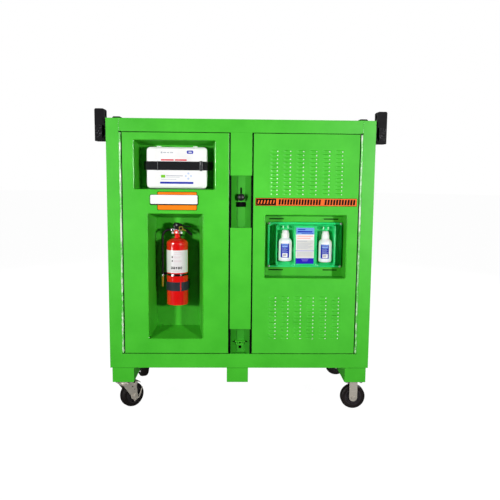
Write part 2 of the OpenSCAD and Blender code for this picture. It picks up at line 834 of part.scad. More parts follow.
module caster_bolts() {
  color(zinc) for (x = [-skid_x, skid_x]) caster_bolt_places(x) {
    translate([0, 0, -plate_t - 7]) hex_head(9, 7);
    translate([0, 0, -plate_t - 7]) cylinder(r = 5, h = plate_t + 19);
    translate([0, 0, 4]) hex_head(9, 7);
  }
}

// axle with a hexagonal head and nut, along Y
module caster_axle() {
  out = hub_w / 2 + 0.5 + fork_t;
  translate([0, out + 6, 0]) rotate([90, 0, 0]) cylinder(r = axle_r, h = 2 * out + 14);
  translate([0, out + 6, 0]) rotate([90, 0, 0]) hex_head(11, 6);
  translate([0, -out, 0]) rotate([90, 0, 0]) hex_head(11, 6);
}

module rigid_forks() {
  leg_y = hub_w / 2 + 0.5;
  color(zinc) for (y = caster_y) translate([skid_x, y, 0]) {
    for (s = [0, 1]) mirror([0, s, 0]) along_y(-leg_y - fork_t, -leg_y) {
      translate([-24, wheel_r]) square([48, caster_h - plate_t - wheel_r]);
      translate([0, wheel_r]) circle(24);
    }
    block([-24, -leg_y - fork_t, caster_h - plate_t - fork_t], [24, leg_y + fork_t, caster_h - plate_t]);
    translate([0, 0, wheel_r]) caster_axle();
  }
}

// a swivel fork that trails along +X, with its axis at the origin
module swivel_fork() {
  leg_y = hub_w / 2 + 0.5;
  crown_z = 151;
  race_z = caster_h - plate_t - 9 - race_gap;
  difference() {
    union() {
      translate([0, 0, crown_z]) cylinder(r = 36, h = race_z - crown_z, $fn = 64);
      block([-38, -leg_y - fork_t, crown_z], [36, leg_y + fork_t, crown_z + 6]);
    }
    translate([0, 0, crown_z - 1]) cylinder(r = 8.1, h = 40);
    translate([0, 0, crown_z - 1]) cylinder(r = 15, h = 3.5);
  }
  for (s = [0, 1]) mirror([0, s, 0]) difference() {
    along_y(-leg_y - fork_t, -leg_y) {
      polygon([[-38, 157], [36, 157], [42, 151], [58, 145], [65, 78], [25, 68], [2, 102]]);
      translate([trail, wheel_r - 3]) circle(24);
    }
    translate([52, 0, 140]) rotate([90, 0, 0]) cylinder(r = 3.1, h = 80);
  }
  translate([trail, 0, wheel_r]) caster_axle();
}

// brake pedal over the trailing side of a swivel fork
module brake_pedal() {
  leg_y = hub_w / 2 + 0.5;
  translate([0, 20, 0]) along_y(-40, 0)
    polygon([[49, 155], [66, 155], [84, 147], [94, 138], [97, 141], [87, 151], [68, 159], [49, 159]]);
  for (s = [0, 1]) mirror([0, s, 0]) {
    along_y(-leg_y - fork_t - 3.4, -leg_y - fork_t - 0.4) {
      translate([52, 140]) circle(8);
      polygon([[44, 140], [60, 140], [66, 159], [49, 159]]);
    }
    block([49, -leg_y - fork_t - 3.4, 155], [62, -18, 159]);
  }
  translate([52, leg_y + fork_t + 3, 140]) rotate([90, 0, 0]) cylinder(r = 3, h = fork_t + 2.7);
  translate([52, -leg_y - fork_t - 3, 140]) rotate([-90, 0, 0]) cylinder(r = 3, h = fork_t + 2.7);
}

module swivel(place) {
  turn = place == 0 ? front_swivel : rear_swivel;
  translate([-skid_x, caster_y[place], 0]) rotate([0, 0, turn]) children();
}

// tyre and core as two solids, with the axle along Y
module wheel() {
  r = wheel_r;
  w = wheel_w / 2;
  core = 50;
  rotate([90, 0, 0]) {
    color([0.06, 0.06, 0.06]) rotate_extrude($fn = 96) polygon([
      [core, -w + 1], [r - 10, -w], [r - 3, -w + 5], [r, -w + 14], [r, w - 14], [r - 3, w - 5],
      [r - 10, w], [core, w - 1]]);
    color([0.12, 0.11, 0.12]) rotate_extrude($fn = 64) polygon([
      [axle_r + 0.06, -hub_w / 2], [18, -hub_w / 2], [19, -w + 8], [40, -w + 8], [44, -w + 1],
      [core - 0.2, -w + 1], [core - 0.2, w - 1], [44, w - 1], [40, w - 8], [19, w - 8],
      [18, hub_w / 2], [axle_r + 0.06, hub_w / 2]]);
  }
}

// ---- what is drawn ----

side_panel();  // side_panel_left
mirror([1, 0, 0]) side_panel();  // side_panel_right
back_panel();
roof_panel();
floor_panel();
top_rail();
bottom_rail();
center_post();
lock_recess_upper();
lock_recess_lower();
foot_bracket();
lock_guides();
lock_bar();
lock_knob();
skid(-skid_x, true);  // skid_left
skid(skid_offset, false);  // skid_center
skid(skid_x, true);  // skid_right
shelves();
shelf_brackets();
lift_brackets();
lift_bracket_bolts();
hinge_frame_leaves();
left_door_skin();
color(green) mirror([1, 0, 0]) door_stiffener();  // left_door_stiffener
color(green) door_leaf();  // left_hinge_leaf
first_aid_pocket();
first_aid_case();
first_aid_lid();
first_aid_strap();
extinguisher_pocket();
extinguisher_bracket();
extinguisher_cylinder();
extinguisher_valve();
extinguisher_gauge();
extinguisher_handle();
extinguisher_lever();
pull_pin();
extinguisher_hose();
hose_nozzle();
hose_band();
extinguisher_strap();
right_door_skin();
color(green) door_stiffener();  // right_door_stiffener
color(green) mirror([1, 0, 0]) door_leaf();  // right_hinge_leaf
eyewash_pocket();
eyewash_tray();
eyewash_card();
eyewash_bottle(0);  // eyewash_bottle_left
eyewash_bottle(1);  // eyewash_bottle_right
caster_plates();
caster_bolts();
rigid_forks();
color(zinc) swivel(0) swivel_fork();  // front_swivel_fork
color(zinc) swivel(1) swivel_fork();  // rear_swivel_fork
swivel(0) translate([trail, 0, wheel_r]) wheel();  // front_left_wheel
swivel(1) translate([trail, 0, wheel_r]) wheel();  // rear_left_wheel
translate([skid_x, caster_y[0], wheel_r]) wheel();  // front_right_wheel
translate([skid_x, caster_y[1], wheel_r]) wheel();  // rear_right_wheel
color(black) swivel(0) brake_pedal();  // front_brake_pedal
color(black) swivel(1) brake_pedal();  // rear_brake_pedal
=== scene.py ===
"""Looks of the jobsite safety cabinet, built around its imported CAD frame. Metres, same axes as the CAD."""

import json
import math
import random

import bmesh
import bpy
from mathutils import Matrix, Vector


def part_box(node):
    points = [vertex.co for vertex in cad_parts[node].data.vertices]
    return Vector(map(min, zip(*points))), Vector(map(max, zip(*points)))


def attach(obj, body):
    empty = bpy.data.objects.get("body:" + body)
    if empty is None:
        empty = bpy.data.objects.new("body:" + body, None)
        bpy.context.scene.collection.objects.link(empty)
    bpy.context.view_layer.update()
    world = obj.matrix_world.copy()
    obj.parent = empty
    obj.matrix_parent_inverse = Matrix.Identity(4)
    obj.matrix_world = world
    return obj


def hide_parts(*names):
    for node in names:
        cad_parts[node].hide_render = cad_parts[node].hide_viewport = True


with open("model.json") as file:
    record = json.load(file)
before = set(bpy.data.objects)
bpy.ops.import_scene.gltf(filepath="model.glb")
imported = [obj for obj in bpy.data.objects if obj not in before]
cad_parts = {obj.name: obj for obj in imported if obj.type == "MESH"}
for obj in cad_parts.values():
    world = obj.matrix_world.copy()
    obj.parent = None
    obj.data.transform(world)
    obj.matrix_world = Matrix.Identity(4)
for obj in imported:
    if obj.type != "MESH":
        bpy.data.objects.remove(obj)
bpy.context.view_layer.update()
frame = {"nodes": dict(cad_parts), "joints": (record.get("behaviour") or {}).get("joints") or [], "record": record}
NODES = frame["nodes"]
MM = 0.001
SEED = 11
random.seed(SEED)

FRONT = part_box("top_rail")[0].y
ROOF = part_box("roof_panel")[1].z
HALF_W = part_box("side_panel_right")[1].x
STILE = HALF_W - 72 * MM  # inner edge of the folded front stiles
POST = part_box("center_post")[1].x

# outlines of the pocket openings, in mm: x0, x1, z0, z1, corner radius
AID_OPENING = (-610, -147, 1317, 1597, 9)
EXT_OPENING = (-534, -217, 446, 1182, 9)
WASH_OPENING = (138, 612, 809, 1180, 9)
RIM_WIRE = 2.2


# ---- colour and material helpers ----

def linear(r, g, b):
    """sRGB 0..255 to linear rgba."""
    def one(v):
        v /= 255.0
        return v / 12.92 if v <= 0.04045 else ((v + 0.055) / 1.055) ** 2.4
    return (one(r), one(g), one(b), 1.0)


class Mat:
    """A node material on one Principled shader, in object coordinates."""

    def __init__(self, name, rough=0.4, metal=0.0, coat=0.0, spec=0.5):
        self.mat = bpy.data.materials.new(name)
        self.mat.use_nodes = True
        self.tree = self.mat.node_tree
        self.shader = self.tree.nodes["Principled BSDF"]
        self.shader.inputs["Metallic"].default_value = metal
        self.shader.inputs["Roughness"].default_value = rough
        self.shader.inputs["Coat Weight"].default_value = coat
        self.shader.inputs["Coat Roughness"].default_value = 0.12
        self.shader.inputs["Specular IOR Level"].default_value = spec
        self.coords = self.node("ShaderNodeTexCoord")

    def node(self, kind, **values):
        n = self.tree.nodes.new(kind)
        for k, v in values.items():
            if k in n.inputs:
                n.inputs[k].default_value = v
            else:
                setattr(n, k, v)
        return n

    def link(self, a, b):
        self.tree.links.new(a, b)

    def noise(self, scale, detail=3.0, rough=0.5, stretch=(1, 1, 1)):
        m = self.node("ShaderNodeMapping")
        m.inputs["Scale"].default_value = stretch
        self.link(self.coords.outputs["Object"], m.inputs["Vector"])
        n = self.node("ShaderNodeTexNoise", Scale=scale, Detail=detail, Roughness=rough)
        self.link(m.outputs["Vector"], n.inputs["Vector"])
        return n.outputs["Fac"]

    def ramp(self, fac, stops):
        r = self.node("ShaderNodeValToRGB")
        el = r.color_ramp.elements
        while len(el) < len(stops):
            el.new(0.5)
        for e, (pos, col) in zip(el, stops):
            e.position = pos
            e.color = col
        self.link(fac, r.inputs["Fac"])
        return r.outputs["Color"]

    def base(self, fac, low, high, start=0.35, end=0.65):
        self.link(self.ramp(fac, [(start, low), (end, high)]), self.shader.inputs["Base Color"])
        return self

    def roughness(self, fac, low, high):
        m = self.node("ShaderNodeMapRange")
        m.inputs["To Min"].default_value = low
        m.inputs["To Max"].default_value = high
        self.link(fac, m.inputs["Value"])
        self.link(m.outputs["Result"], self.shader.inputs["Roughness"])
        return self

    def bump(self, fac, strength, distance):
        b = self.node("ShaderNodeBump", Strength=strength, Distance=distance)
        self.link(fac, b.inputs["Height"])
        self.link(b.outputs["Normal"], self.shader.inputs["Normal"])
        return self


def paint(name, dark, light, rough=(0.26, 0.40), peel=0.06, coat=0.25, scale=5.0, spec=0.5):
    """Powder coat: slow colour drift, orange peel and slightly uneven gloss."""
    m = Mat(name, rough=rough[0], coat=coat, spec=spec)
    m.base(m.noise(scale, 4.0, 0.6), linear(*dark), linear(*light), 0.3, 0.7)
    m.roughness(m.noise(scale * 7, 3.0), *rough)
    m.bump(m.noise(420.0, 2.0), peel, 0.0006)
    return m.mat


def metal(name, dark, light, rough=(0.28, 0.45), stretch=(1, 1, 14), scale=60.0, metallic=0.9):
    """Plated or brushed metal with fine streaks."""
    m = Mat(name, rough=rough[0], metal=metallic)
    m.base(m.noise(scale, 5.0, 0.6, stretch), linear(*dark), linear(*light), 0.3, 0.7)
    m.roughness(m.noise(scale * 2, 3.0, 0.5, stretch), *rough)
    m.bump(m.noise(scale * 4, 2.0, 0.5, stretch), 0.12, 0.0004)
    return m.mat


def plastic(name, dark, light, rough=(0.3, 0.42), coat=0.1, grain=300.0, strength=0.05, scatter=0.0,
            spec=0.5):
    """Moulded plastic or rubber with a fine grain."""
    m = Mat(name, rough=rough[0], coat=coat, spec=spec)
    m.base(m.noise(8.0, 3.0), linear(*dark), linear(*light), 0.3, 0.7)
    m.roughness(m.noise(40.0, 3.0), *rough)
    m.bump(m.noise(grain, 2.0), strength, 0.0004)
    m.shader.inputs["Subsurface Weight"].default_value = scatter
    m.shader.inputs["Subsurface Scale"].default_value = 0.01
    return m.mat


def woven(name, dark, light, pitch=2.2 * MM):
    """Webbing: two crossed ribs, with a little fuzz."""
    m = Mat(name, rough=0.8, spec=0.1)
    m.shader.inputs["Sheen Weight"].default_value = 0.1
    m.shader.inputs["Sheen Roughness"].default_value = 0.5
    m.base(m.noise(260.0, 4.0), linear(*dark), linear(*light), 0.3, 0.7)
    waves = []
    for axis in ("X", "Z"):
        w = m.node("ShaderNodeTexWave", bands_direction=axis, wave_profile="SIN")
        w.inputs["Scale"].default_value = 1 / pitch / 20 * math.pi
        m.link(m.coords.outputs["Object"], w.inputs["Vector"])
        waves.append(w.outputs["Fac"])
    s = m.node("ShaderNodeMath", operation="MULTIPLY")
    m.link(waves[0], s.inputs[0])
    m.link(waves[1], s.inputs[1])
    m.bump(s.outputs["Value"], 0.6, 0.0006)
    return m.mat


GREEN = paint("lime_powder_coat", (64, 190, 38), (76, 204, 48), (0.34, 0.46), 0.04, 0.04)
MATS = {
    "body_paint": GREEN,
    "shelf_paint": paint("shelf_paint", (150, 156, 152), (172, 176, 172), (0.38, 0.5), 0.05, 0.0),
    "black_paint": paint("black_paint", (12, 11, 14), (24, 22, 26), (0.42, 0.58), 0.14, 0.0, 9.0, 0.12),
    "lock_black": paint("lock_black", (8, 8, 9), (14, 14, 15), (0.45, 0.6), 0.08, 0.0, 9.0, 0.05),
    "knob_plastic": plastic("knob_plastic", (14, 14, 15), (28, 27, 30), (0.36, 0.48), 0.0),
    "zinc": metal("zinc_plate", (186, 178, 166), (222, 214, 202), (0.38, 0.55), metallic=0.35),
    "bolt_steel": metal("bolt_steel", (176, 174, 172), (210, 208, 208), (0.3, 0.45), (1, 1, 1), 90.0, 0.5),
    "case_plastic": plastic("case_plastic", (224, 228, 226), (236, 240, 238), (0.4, 0.52), 0.0),
    "lid_plastic": plastic("lid_plastic", (240, 238, 238), (250, 249, 249), (0.48, 0.6), 0.0),
    "webbing": woven("webbing", (16, 16, 18), (36, 36, 40)),
    "cylinder_red": paint("cylinder_red", (218, 14, 14), (236, 24, 22), (0.12, 0.2), 0.008, 1.0, 6.0),
    "valve_metal": metal("valve_metal", (206, 206, 210), (238, 238, 240), (0.18, 0.3), (1, 1, 1), 80.0, 0.8),
    "gauge_face": metal("gauge_case", (214, 206, 184), (238, 232, 214), (0.2, 0.3), (1, 1, 1), 80.0, 0.8),
    "lever_black": paint("lever_black", (9, 9, 10), (20, 20, 21), (0.28, 0.4), 0.05, 0.05, 12.0, 0.25),
    "pin_yellow": plastic("pin_yellow", (150, 140, 14), (176, 166, 26), (0.4, 0.55), 0.0),
    "hose_rubber": plastic("hose_rubber", (10, 9, 10), (24, 21, 23), (0.4, 0.55), 0.0, 600.0, 0.1, 0.0, 0.25),
    "nozzle_plastic": plastic("nozzle_plastic", (170, 128, 10), (200, 158, 24), (0.35, 0.5)),
    "band_black": paint("band_black", (8, 9, 10), (18, 20, 20), (0.16, 0.26), 0.02, 0.5, 10.0),
    "strap_rubber": plastic("strap_rubber", (32, 36, 44), (48, 52, 62), (0.5, 0.66), 0.0,
                            500.0, 0.2, 0.0, 0.2),
    "tray_green": plastic("tray_green", (30, 208, 112), (66, 226, 136), (0.14, 0.22), 0.8, 200.0, 0.02),
    "card_print": plastic("card_print", (232, 232, 234), (244, 243, 242), (0.4, 0.5), 0.0),
    "bottle_plastic": plastic("bottle_plastic", (238, 241, 244), (250, 251, 252), (0.3, 0.4), 0.1,
                              260.0, 0.03, 0.2),
    "tyre_black": plastic("tyre_rubber", (20, 16, 16), (38, 31, 31), (0.42, 0.6), 0.0, 380.0, 0.2, 0.0, 0.2),
}


def flat_colour_mat(name, rgb, drift=7, rough=(0.45, 0.6)):
    """A flat colour, for print and for painted light and shade; dark colours shine less."""
    low = [max(0, v - drift) for v in rgb]
    high = [min(255, v + drift) for v in rgb]
    return plastic(name, low, high, rough, 0.0, 500.0, 0.04, 0.0, 0.05 if max(rgb) < 30 else 0.2)


FLAT_COLOURS = {k: flat_colour_mat("ink_" + k, rgb) for k, rgb in {
    "white": (246, 246, 245), "black": (10, 10, 11), "orange": (255, 128, 4), "strip": (246, 112, 40),
    "blue": (10, 36, 176), "deep_blue": (34, 18, 182), "sky": (112, 158, 226), "pink": (246, 186, 180),
    "red": (226, 30, 58), "green": (122, 206, 36), "grey": (176, 180, 190), "pale": (200, 214, 240),
    "label": (228, 224, 225), "slate": (44, 48, 62), "violet": (96, 78, 196)}.items()}

FLAT_COLOURS["label"].node_tree.nodes["Principled BSDF"].inputs["Coat Weight"].default_value = 0.6
for key, value in (("cylinder_red", 0.02), ("tray_green", 0.05)):
    MATS[key].node_tree.nodes["Principled BSDF"].inputs["Coat Roughness"].default_value = value
# painted shade: the lock recesses get a darker green than the body, for the shade inside them
RECESS_SHADE = paint("recess_shade_green", (38, 146, 20), (54, 166, 30), (0.4, 0.55), 0.05, 0.0)

slot_of = {s["node"]: s["material_slot"] for s in frame["record"]["subparts"]}
for name, o in NODES.items():
    o.data.materials.clear()
    o.data.materials.append(RECESS_SHADE if name.startswith("lock_recess") else MATS[slot_of[name]])
NODES["lift_bracket_bolts"].data.materials[0] = MATS["black_paint"]
LOUVRED = paint("louvred_door_coat", (64, 190, 38), (76, 204, 48), (0.5, 0.62), 0.04, 0.0, spec=0.35)
NODES["right_door_skin"].data.materials[0] = LOUVRED
# painted shade: the pockets get a darker green than the body, for the shade inside them
SHADED = paint("pocket_shade_green", (56, 170, 30), (67, 185, 39), (0.36, 0.48), 0.04, 0.0)
for name in ("first_aid_pocket", "extinguisher_pocket", "eyewash_pocket"):
    NODES[name].data.materials[0] = SHADED

# painted highlights: pale patches on the hinge barrels and leaves, for the glints of light on them
BARREL_GLINTS = Mat("barrel_glints", rough=0.3, coat=0.3)
BARREL_GLINTS.base(BARREL_GLINTS.noise(46.0, 3.0, 0.6, (1, 1, 0.5)), linear(96, 214, 76), linear(232, 246, 224), 0.42, 0.64)
BARREL_GLINTS.roughness(BARREL_GLINTS.noise(90.0), 0.25, 0.45)
BARREL_GLINTS.bump(BARREL_GLINTS.noise(300.0), 0.1, 0.0005)
for name in ("hinge_frame_leaves", "left_hinge_leaf", "right_hinge_leaf"):
    NODES[name].data.materials[0] = BARREL_GLINTS.mat
for name in ("front_brake_pedal", "rear_brake_pedal"):
    NODES[name].data.materials[0] = MATS["zinc"]


# ---- mesh helpers ----

def link(o):
    bpy.context.scene.collection.objects.link(o)
    return o


def add(name, body, slot, verts, faces, mat, smooth=False, replaces=()):
    """A new piece from points and faces."""
    me = bpy.data.meshes.new(name)
    me.from_pydata([tuple(v) for v in verts], [], faces)
    me.materials.append(mat)
    o = link(bpy.data.objects.new(name, me))
    bm = bmesh.new()
    bm.from_mesh(me)
    bmesh.ops.recalc_face_normals(bm, faces=bm.faces)
    bm.to_mesh(me)
    bm.free()
    for p in me.polygons:
        p.use_smooth = smooth
    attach(o, body)
    if replaces:
        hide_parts(*replaces)
    return o


def bevel(o, width, segments=2, angle=35, weld=False):
    if weld:
        w = o.modifiers.new("weld", "WELD")
        w.merge_threshold = 0.00002
        d = o.modifiers.new("flat_faces", "DECIMATE")
        d.decimate_type = "DISSOLVE"
        d.angle_limit = math.radians(0.5)
    b = o.modifiers.new("bevel", "BEVEL")
    b.width = width
    b.segments = segments
    b.limit_method = "ANGLE"
    b.angle_limit = math.radians(angle)
    b.harden_normals = False
    return o


def join_parts(parts):
    """Several (verts, faces) as one."""
    verts, faces = [], []
    for v, f in parts:
        k = len(verts)
        verts += [tuple(p) for p in v]
        faces += [[i + k for i in q] for q in f]
    return verts, faces


def prism_faces(n):
    """The faces between two outlines of n points each."""
    return ([list(range(n)), list(range(2 * n - 1, n - 1, -1))] +
            [[i, (i + 1) % n, n + (i + 1) % n, n + i] for i in range(n)])


def prism(outline, y0, y1):
    """A plate in X and Z between two planes of Y."""
    v = [(x, y0, z) for x, z in outline] + [(x, y1, z) for x, z in outline]
    return v, prism_faces(len(outline))


def slab(x0, x1, z0, z1, y0, y1):
    return prism([(x0, z0), (x1, z0), (x1, z1), (x0, z1)], y0, y1)


def mirrored(side, a, b):
    """The span from a to b on the side -1 or 1, from low to high."""
    return sorted((side * a, side * b))


def mm(pairs):
    return [(a * MM, b * MM) for a, b in pairs]


def rounded(x0, x1, z0, z1, r, steps=6):
    """A rectangle with round corners."""
    pts = []
    for cx, cz, a in ((x1 - r, z1 - r, 0), (x0 + r, z1 - r, 90), (x0 + r, z0 + r, 180),
                      (x1 - r, z0 + r, 270)):
        for i in range(steps + 1):
            t = math.radians(a + 90 * i / steps)
            pts.append((cx + r * math.cos(t), cz + r * math.sin(t)))
    return pts


def loft(rings, caps=True):
    """Faces between rings of the same number of points."""
    n = len(rings[0])
    v = [p for ring in rings for p in ring]
    f = []
    for k in range(len(rings) - 1):
        for i in range(n):
            j = (i + 1) % n
            f.append([k * n + i, k * n + j, (k + 1) * n + j, (k + 1) * n + i])
    if caps:
        f.append(list(range(n - 1, -1, -1)))
        f.append([(len(rings) - 1) * n + i for i in range(n)])
    return v, f


def lathe(profile, centre, steps=48, axis="Z", squash=1.0):
    """Turns (radius, height) pairs about an axis."""
    rings = []
    for r, h in profile:
        ring = []
        for i in range(steps):
            a = 2 * math.pi * i / steps
            u, w = max(r, 1e-5) * math.cos(a), max(r, 1e-5) * math.sin(a) * squash
            p = {"Z": (u, w, h), "Y": (u, h, w), "X": (h, u, w)}[axis]
            ring.append((p[0] + centre[0], p[1] + centre[1], p[2] + centre[2]))
        rings.append(ring)
    return loft(rings)


def circle(mid, a, b, r, n):
    """n points about mid, in the plane of the unit vectors a and b."""
    return [mid + (a * math.cos(t) + b * math.sin(t)) * r for t in (2 * math.pi * k / n for k in range(n))]


def ribbon(path, width0, width1, thick):
    """A flat band in X and Y along path, from height width0 to width1, with round edges."""
    pts = [Vector((p[0], p[1], 0)) for p in path]
    rings = []
    for i, p in enumerate(pts):
        t = (pts[min(i + 1, len(pts) - 1)] - pts[max(i - 1, 0)]).normalized()
        n = Vector((t.y, -t.x, 0))
        e = thick * 0.6
        section = [(0.0, width0), (0.0, width0 + e), (0.0, width1 - e), (0.0, width1),
                   (1.0, width1), (1.0, width1 - e), (1.0, width0 + e), (1.0, width0)]
        ring = []
        for k, (s, z) in enumerate(section):
            edge = k in (0, 3, 4, 7)
            off = thick * (0.22 if edge and s == 0 else 0.78 if edge else s)
            ring.append((p + n * off) + Vector((0, 0, z)))
        rings.append(ring)
    return loft(rings)


def arc(cx, cy, r, a0, a1, steps):
    return [(cx + r * math.cos(math.radians(a0 + (a1 - a0) * i / steps)),
             cy + r * math.sin(math.radians(a0 + (a1 - a0) * i / steps))) for i in range(steps + 1)]


def decal(name, body, ink, shapes, y, thick=0.25 * MM):
    """Thin printed shapes on a plane that faces -Y, at y."""
    return add(name, body, None, *join_parts([prism(s, y - thick, y) for s in shapes]), FLAT_COLOURS[ink])


def rect(x0, x1, z0, z1, r=0.0):
    x0, x1, z0, z1, r = (k * MM for k in (x0, x1, z0, z1, r))
    if r:
        return rounded(x0, x1, z0, z1, r, 5)
    return [(x0, z0), (x1, z0), (x1, z1), (x0, z1)]


def round_patch(span, heights, centre, r, lift, thick, steps, squash=1.0):
    """A thin patch on an upright round wall. span holds arc lengths from the front and heights holds
    heights over the centre, both in mm."""
    v, f = [], []
    for i in range(steps + 1):
        a = (span[0] + (span[1] - span[0]) * i / steps) * MM / r
        for z in heights:
            for k in (r + lift, r + lift + thick):
                v.append((centre[0] + k * math.sin(a), centre[1] - k * squash * math.cos(a),
                          centre[2] + z * MM))
    for i in range(steps):
        p, q = 4 * i, 4 * i + 4
        f += [[p + 1, q + 1, q + 3, p + 3], [p, p + 2, q + 2, q], [p, q, q + 1, p + 1],
              [p + 2, p + 3, q + 3, q + 2]]
    return v, f + [[0, 1, 3, 2], [4 * steps, 4 * steps + 2, 4 * steps + 3, 4 * steps + 1]]


def disc(x, z, r, n=20):
    return [((x + r * math.cos(2 * math.pi * i / n)) * MM, (z + r * math.sin(2 * math.pi * i / n)) * MM)
            for i in range(n)]


def domed_screw(x, y, z, r):
    """A pan-head screw facing -Y, as verts and faces."""
    prof = [(0.0, -0.55), (0.45, -0.52), (0.8, -0.36), (1.0, -0.1), (1.0, 0.05), (1.35, 0.05), (1.35, 0.2),
            (0.0, 0.2)]
    return lathe([(a * r, b * r) for a, b in prof], (x, y, z), 24, "Y")


# ---- camera ----

def make_camera():
    yaw, pitch, roll = -0.0268, 0.1283, 0.0099
    fwd = Vector((-math.sin(yaw) * math.cos(pitch), math.cos(yaw) * math.cos(pitch), -math.sin(pitch)))
    right = Vector((math.cos(yaw), math.sin(yaw), 0))
    up = right.cross(fwd)
    r2 = right * math.cos(roll) + up * math.sin(roll)
    u2 = up * math.cos(roll) - right * math.sin(roll)
    cam = bpy.data.cameras.new("camera")
    cam.lens = 44.145
    cam.sensor_width = 36.0
    cam.clip_end = 200.0
    o = link(bpy.data.objects.new("camera", cam))
    m = Matrix((r2, u2, -fwd)).transposed().to_4x4()
    m.translation = Vector((-0.0405, -3.888, 1.4274))
    o.matrix_world = m
    bpy.context.scene.camera = o


def area_light(name, place, target, size, power, spread=180, colour=(1, 1, 1)):
    light = bpy.data.lights.new(name, "AREA")
    light.shape = "RECTANGLE"
    light.size, light.size_y = size
    light.energy = power
    light.color = colour
    light.spread = math.radians(spread)
    o = link(bpy.data.objects.new(name, light))
    o.location = place
    o.rotation_euler = (Vector(target) - Vector(place)).to_track_quat("-Z", "Y").to_euler()
    return o


def make_studio():
    target = (0, FRONT, 1.25)
    area_light("key_left", (-3.5, -3.9, 1.5), target, (0.3, 0.42), 38, 90)
    area_light("key_right", (2.8, -3.9, 1.5), target, (0.3, 0.42), 33, 90)
    area_light("strip_left", (-3.5, -2.7, 0.68), (-0.37, FRONT, 0.9), (0.1, 0.9), 16)
    area_light("top_soft", (0, 0.4, 4.6), (0, 0, 0), (4.0, 3.0), 24)
    area_light("back_left", (-3.6, 3.6, 2.6), (0, 0.3, 0.9), (1.6, 1.6), 95)
    area_light("back_right", (3.6, 3.6, 2.6), (0, 0.3, 0.9), (1.6, 1.6), 95)
    world = bpy.data.worlds.new("studio")
    world.use_nodes = True
    tree = world.node_tree
    tree.nodes.clear()
    out = tree.nodes.new("ShaderNodeOutputWorld")
    seen = tree.nodes.new("ShaderNodeBackground")
    seen.inputs["Color"].default_value = (1, 1, 1, 1)
    seen.inputs["Strength"].default_value = 1.0
    fill = tree.nodes.new("ShaderNodeBackground")
    fill.inputs["Color"].default_value = (0.95, 0.98, 1.0, 1)
    fill.inputs["Strength"].default_value = 0.02
    path = tree.nodes.new("ShaderNodeLightPath")
    mix = tree.nodes.new("ShaderNodeMixShader")
    tree.links.new(path.outputs["Is Camera Ray"], mix.inputs["Fac"])
    tree.links.new(fill.outputs["Background"], mix.inputs[1])
    tree.links.new(seen.outputs["Background"], mix.inputs[2])
    tree.links.new(mix.outputs["Shader"], out.inputs["Surface"])
    bpy.context.scene.world = world
    v, f = lathe([(0.0, -0.001), (4.0, -0.001), (40.0, -0.001)], (0, 0, 0), 64)
    me = bpy.data.meshes.new("floor")
    me.from_pydata(v, [], f[:-1])
    floor = link(bpy.data.objects.new("floor", me))
    m = Mat("pale_floor", rough=0.85, spec=0.1)
    m.base(m.noise(0.6, 2.0), (0.08, 0.08, 0.08, 1), (0.1, 0.1, 0.1, 1))
    m.shader.inputs["Emission Color"].default_value = (1, 1, 1, 1)
    seen = m.node("ShaderNodeLightPath")
    glow = m.node("ShaderNodeMath", operation="MULTIPLY")
    glow.inputs[1].default_value = 0.98
    m.link(seen.outputs["Is Camera Ray"], glow.inputs[0])
    m.link(glow.outputs["Value"], m.shader.inputs["Emission Strength"])
    me.materials.append(m.mat)


make_camera()
make_studio()
bpy.context.scene.view_settings.view_transform = "Standard"


# ---- CAD nodes: softened edges ----

EDGE = {"side_panel_left": 1.6, "side_panel_right": 1.6, "top_rail": 0.6, "bottom_rail": 0.6,
        "center_post": 1.2,
        "skid_left": 1.8, "skid_center": 1.8, "skid_right": 1.8, "lift_brackets": 1.6, "left_door_skin": 1.2,
        "right_door_skin": 0.0, "back_panel": 1.2, "roof_panel": 0.8, "rigid_forks": 1.2,
        "front_swivel_fork": 1.0,
        "rear_swivel_fork": 1.0, "caster_plates": 0.8, "foot_bracket": 0.8, "extinguisher_handle": 0.8,
        "extinguisher_lever": 1.6, "extinguisher_bracket": 0.5, "front_brake_pedal": 0.8,
        "rear_brake_pedal": 0.8,
        "lock_knob": 1.2, "extinguisher_valve": 0.7, "first_aid_case": 1.0, "shelves": 0.6, "hose_band": 0.6,
        "lift_bracket_bolts": 0.6, "caster_bolts": 0.6}
for name, width in EDGE.items():
    if width:
        bevel(NODES[name], width * MM, 2, 40, weld=True)

# ---- first aid case ----

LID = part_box("first_aid_lid")
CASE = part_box("first_aid_case")


LID_STEPS = [(0, 0, 22, None), (0, 0, 22, 17), (1.2, 1.2, 21, 13), (4.5, 3.6, 20, 10.4), (9, 5.2, 19, 9.2),
             (30, 6.4, 18, 4.2), (37, 7.2, 17, 2.0), (42, 8.4, 16, 0.6), (47, 10, 15, 0)]


def aid_lid():
    x0, x1 = LID[0].x, LID[1].x
    z0, z1 = CASE[0].z, CASE[1].z
    y_front, y_back = LID[0].y, LID[1].y
    rings = []
    # inset at the sides, inset at top and bottom, corner radius, depth behind the front
    for dx, dz, r, y in LID_STEPS:
        y = y_back if y is None else y_front + y * MM
        rings.append([(x, y, z) for x, z in rounded(x0 + dx * MM, x1 - dx * MM, z0 + dz * MM, z1 - dz * MM,
                r * MM, 8)])
    v, f = loft(rings)
    o = add("aid_lid", "left_door", "lid_plastic", v, f, MATS["lid_plastic"], True, ["first_aid_lid"])
    o.data.polygons[len(f) - 1].use_smooth = False
    parts = []
    for x in (-104, 104):
        cx = (x0 + x1) / 2 + x * MM
        rings = []
        # distance in front of the lid's back, half width, height over the case
        for y, w, h in ((4, 12, 4), (6, 13, 5.6), (22, 13, 6), (26, 11.5, 4.4), (27, 9, 2)):
            outline = rounded(cx - w * MM, cx + w * MM, z1 - 4 * MM, z1 + h * MM, 2.5 * MM, 4)
            rings.append([(px, y_back - y * MM, pz) for px, pz in outline])
        parts.append(loft(rings))
    add("aid_latches", "left_door", "lid_plastic", *join_parts(parts), MATS["lid_plastic"], True)


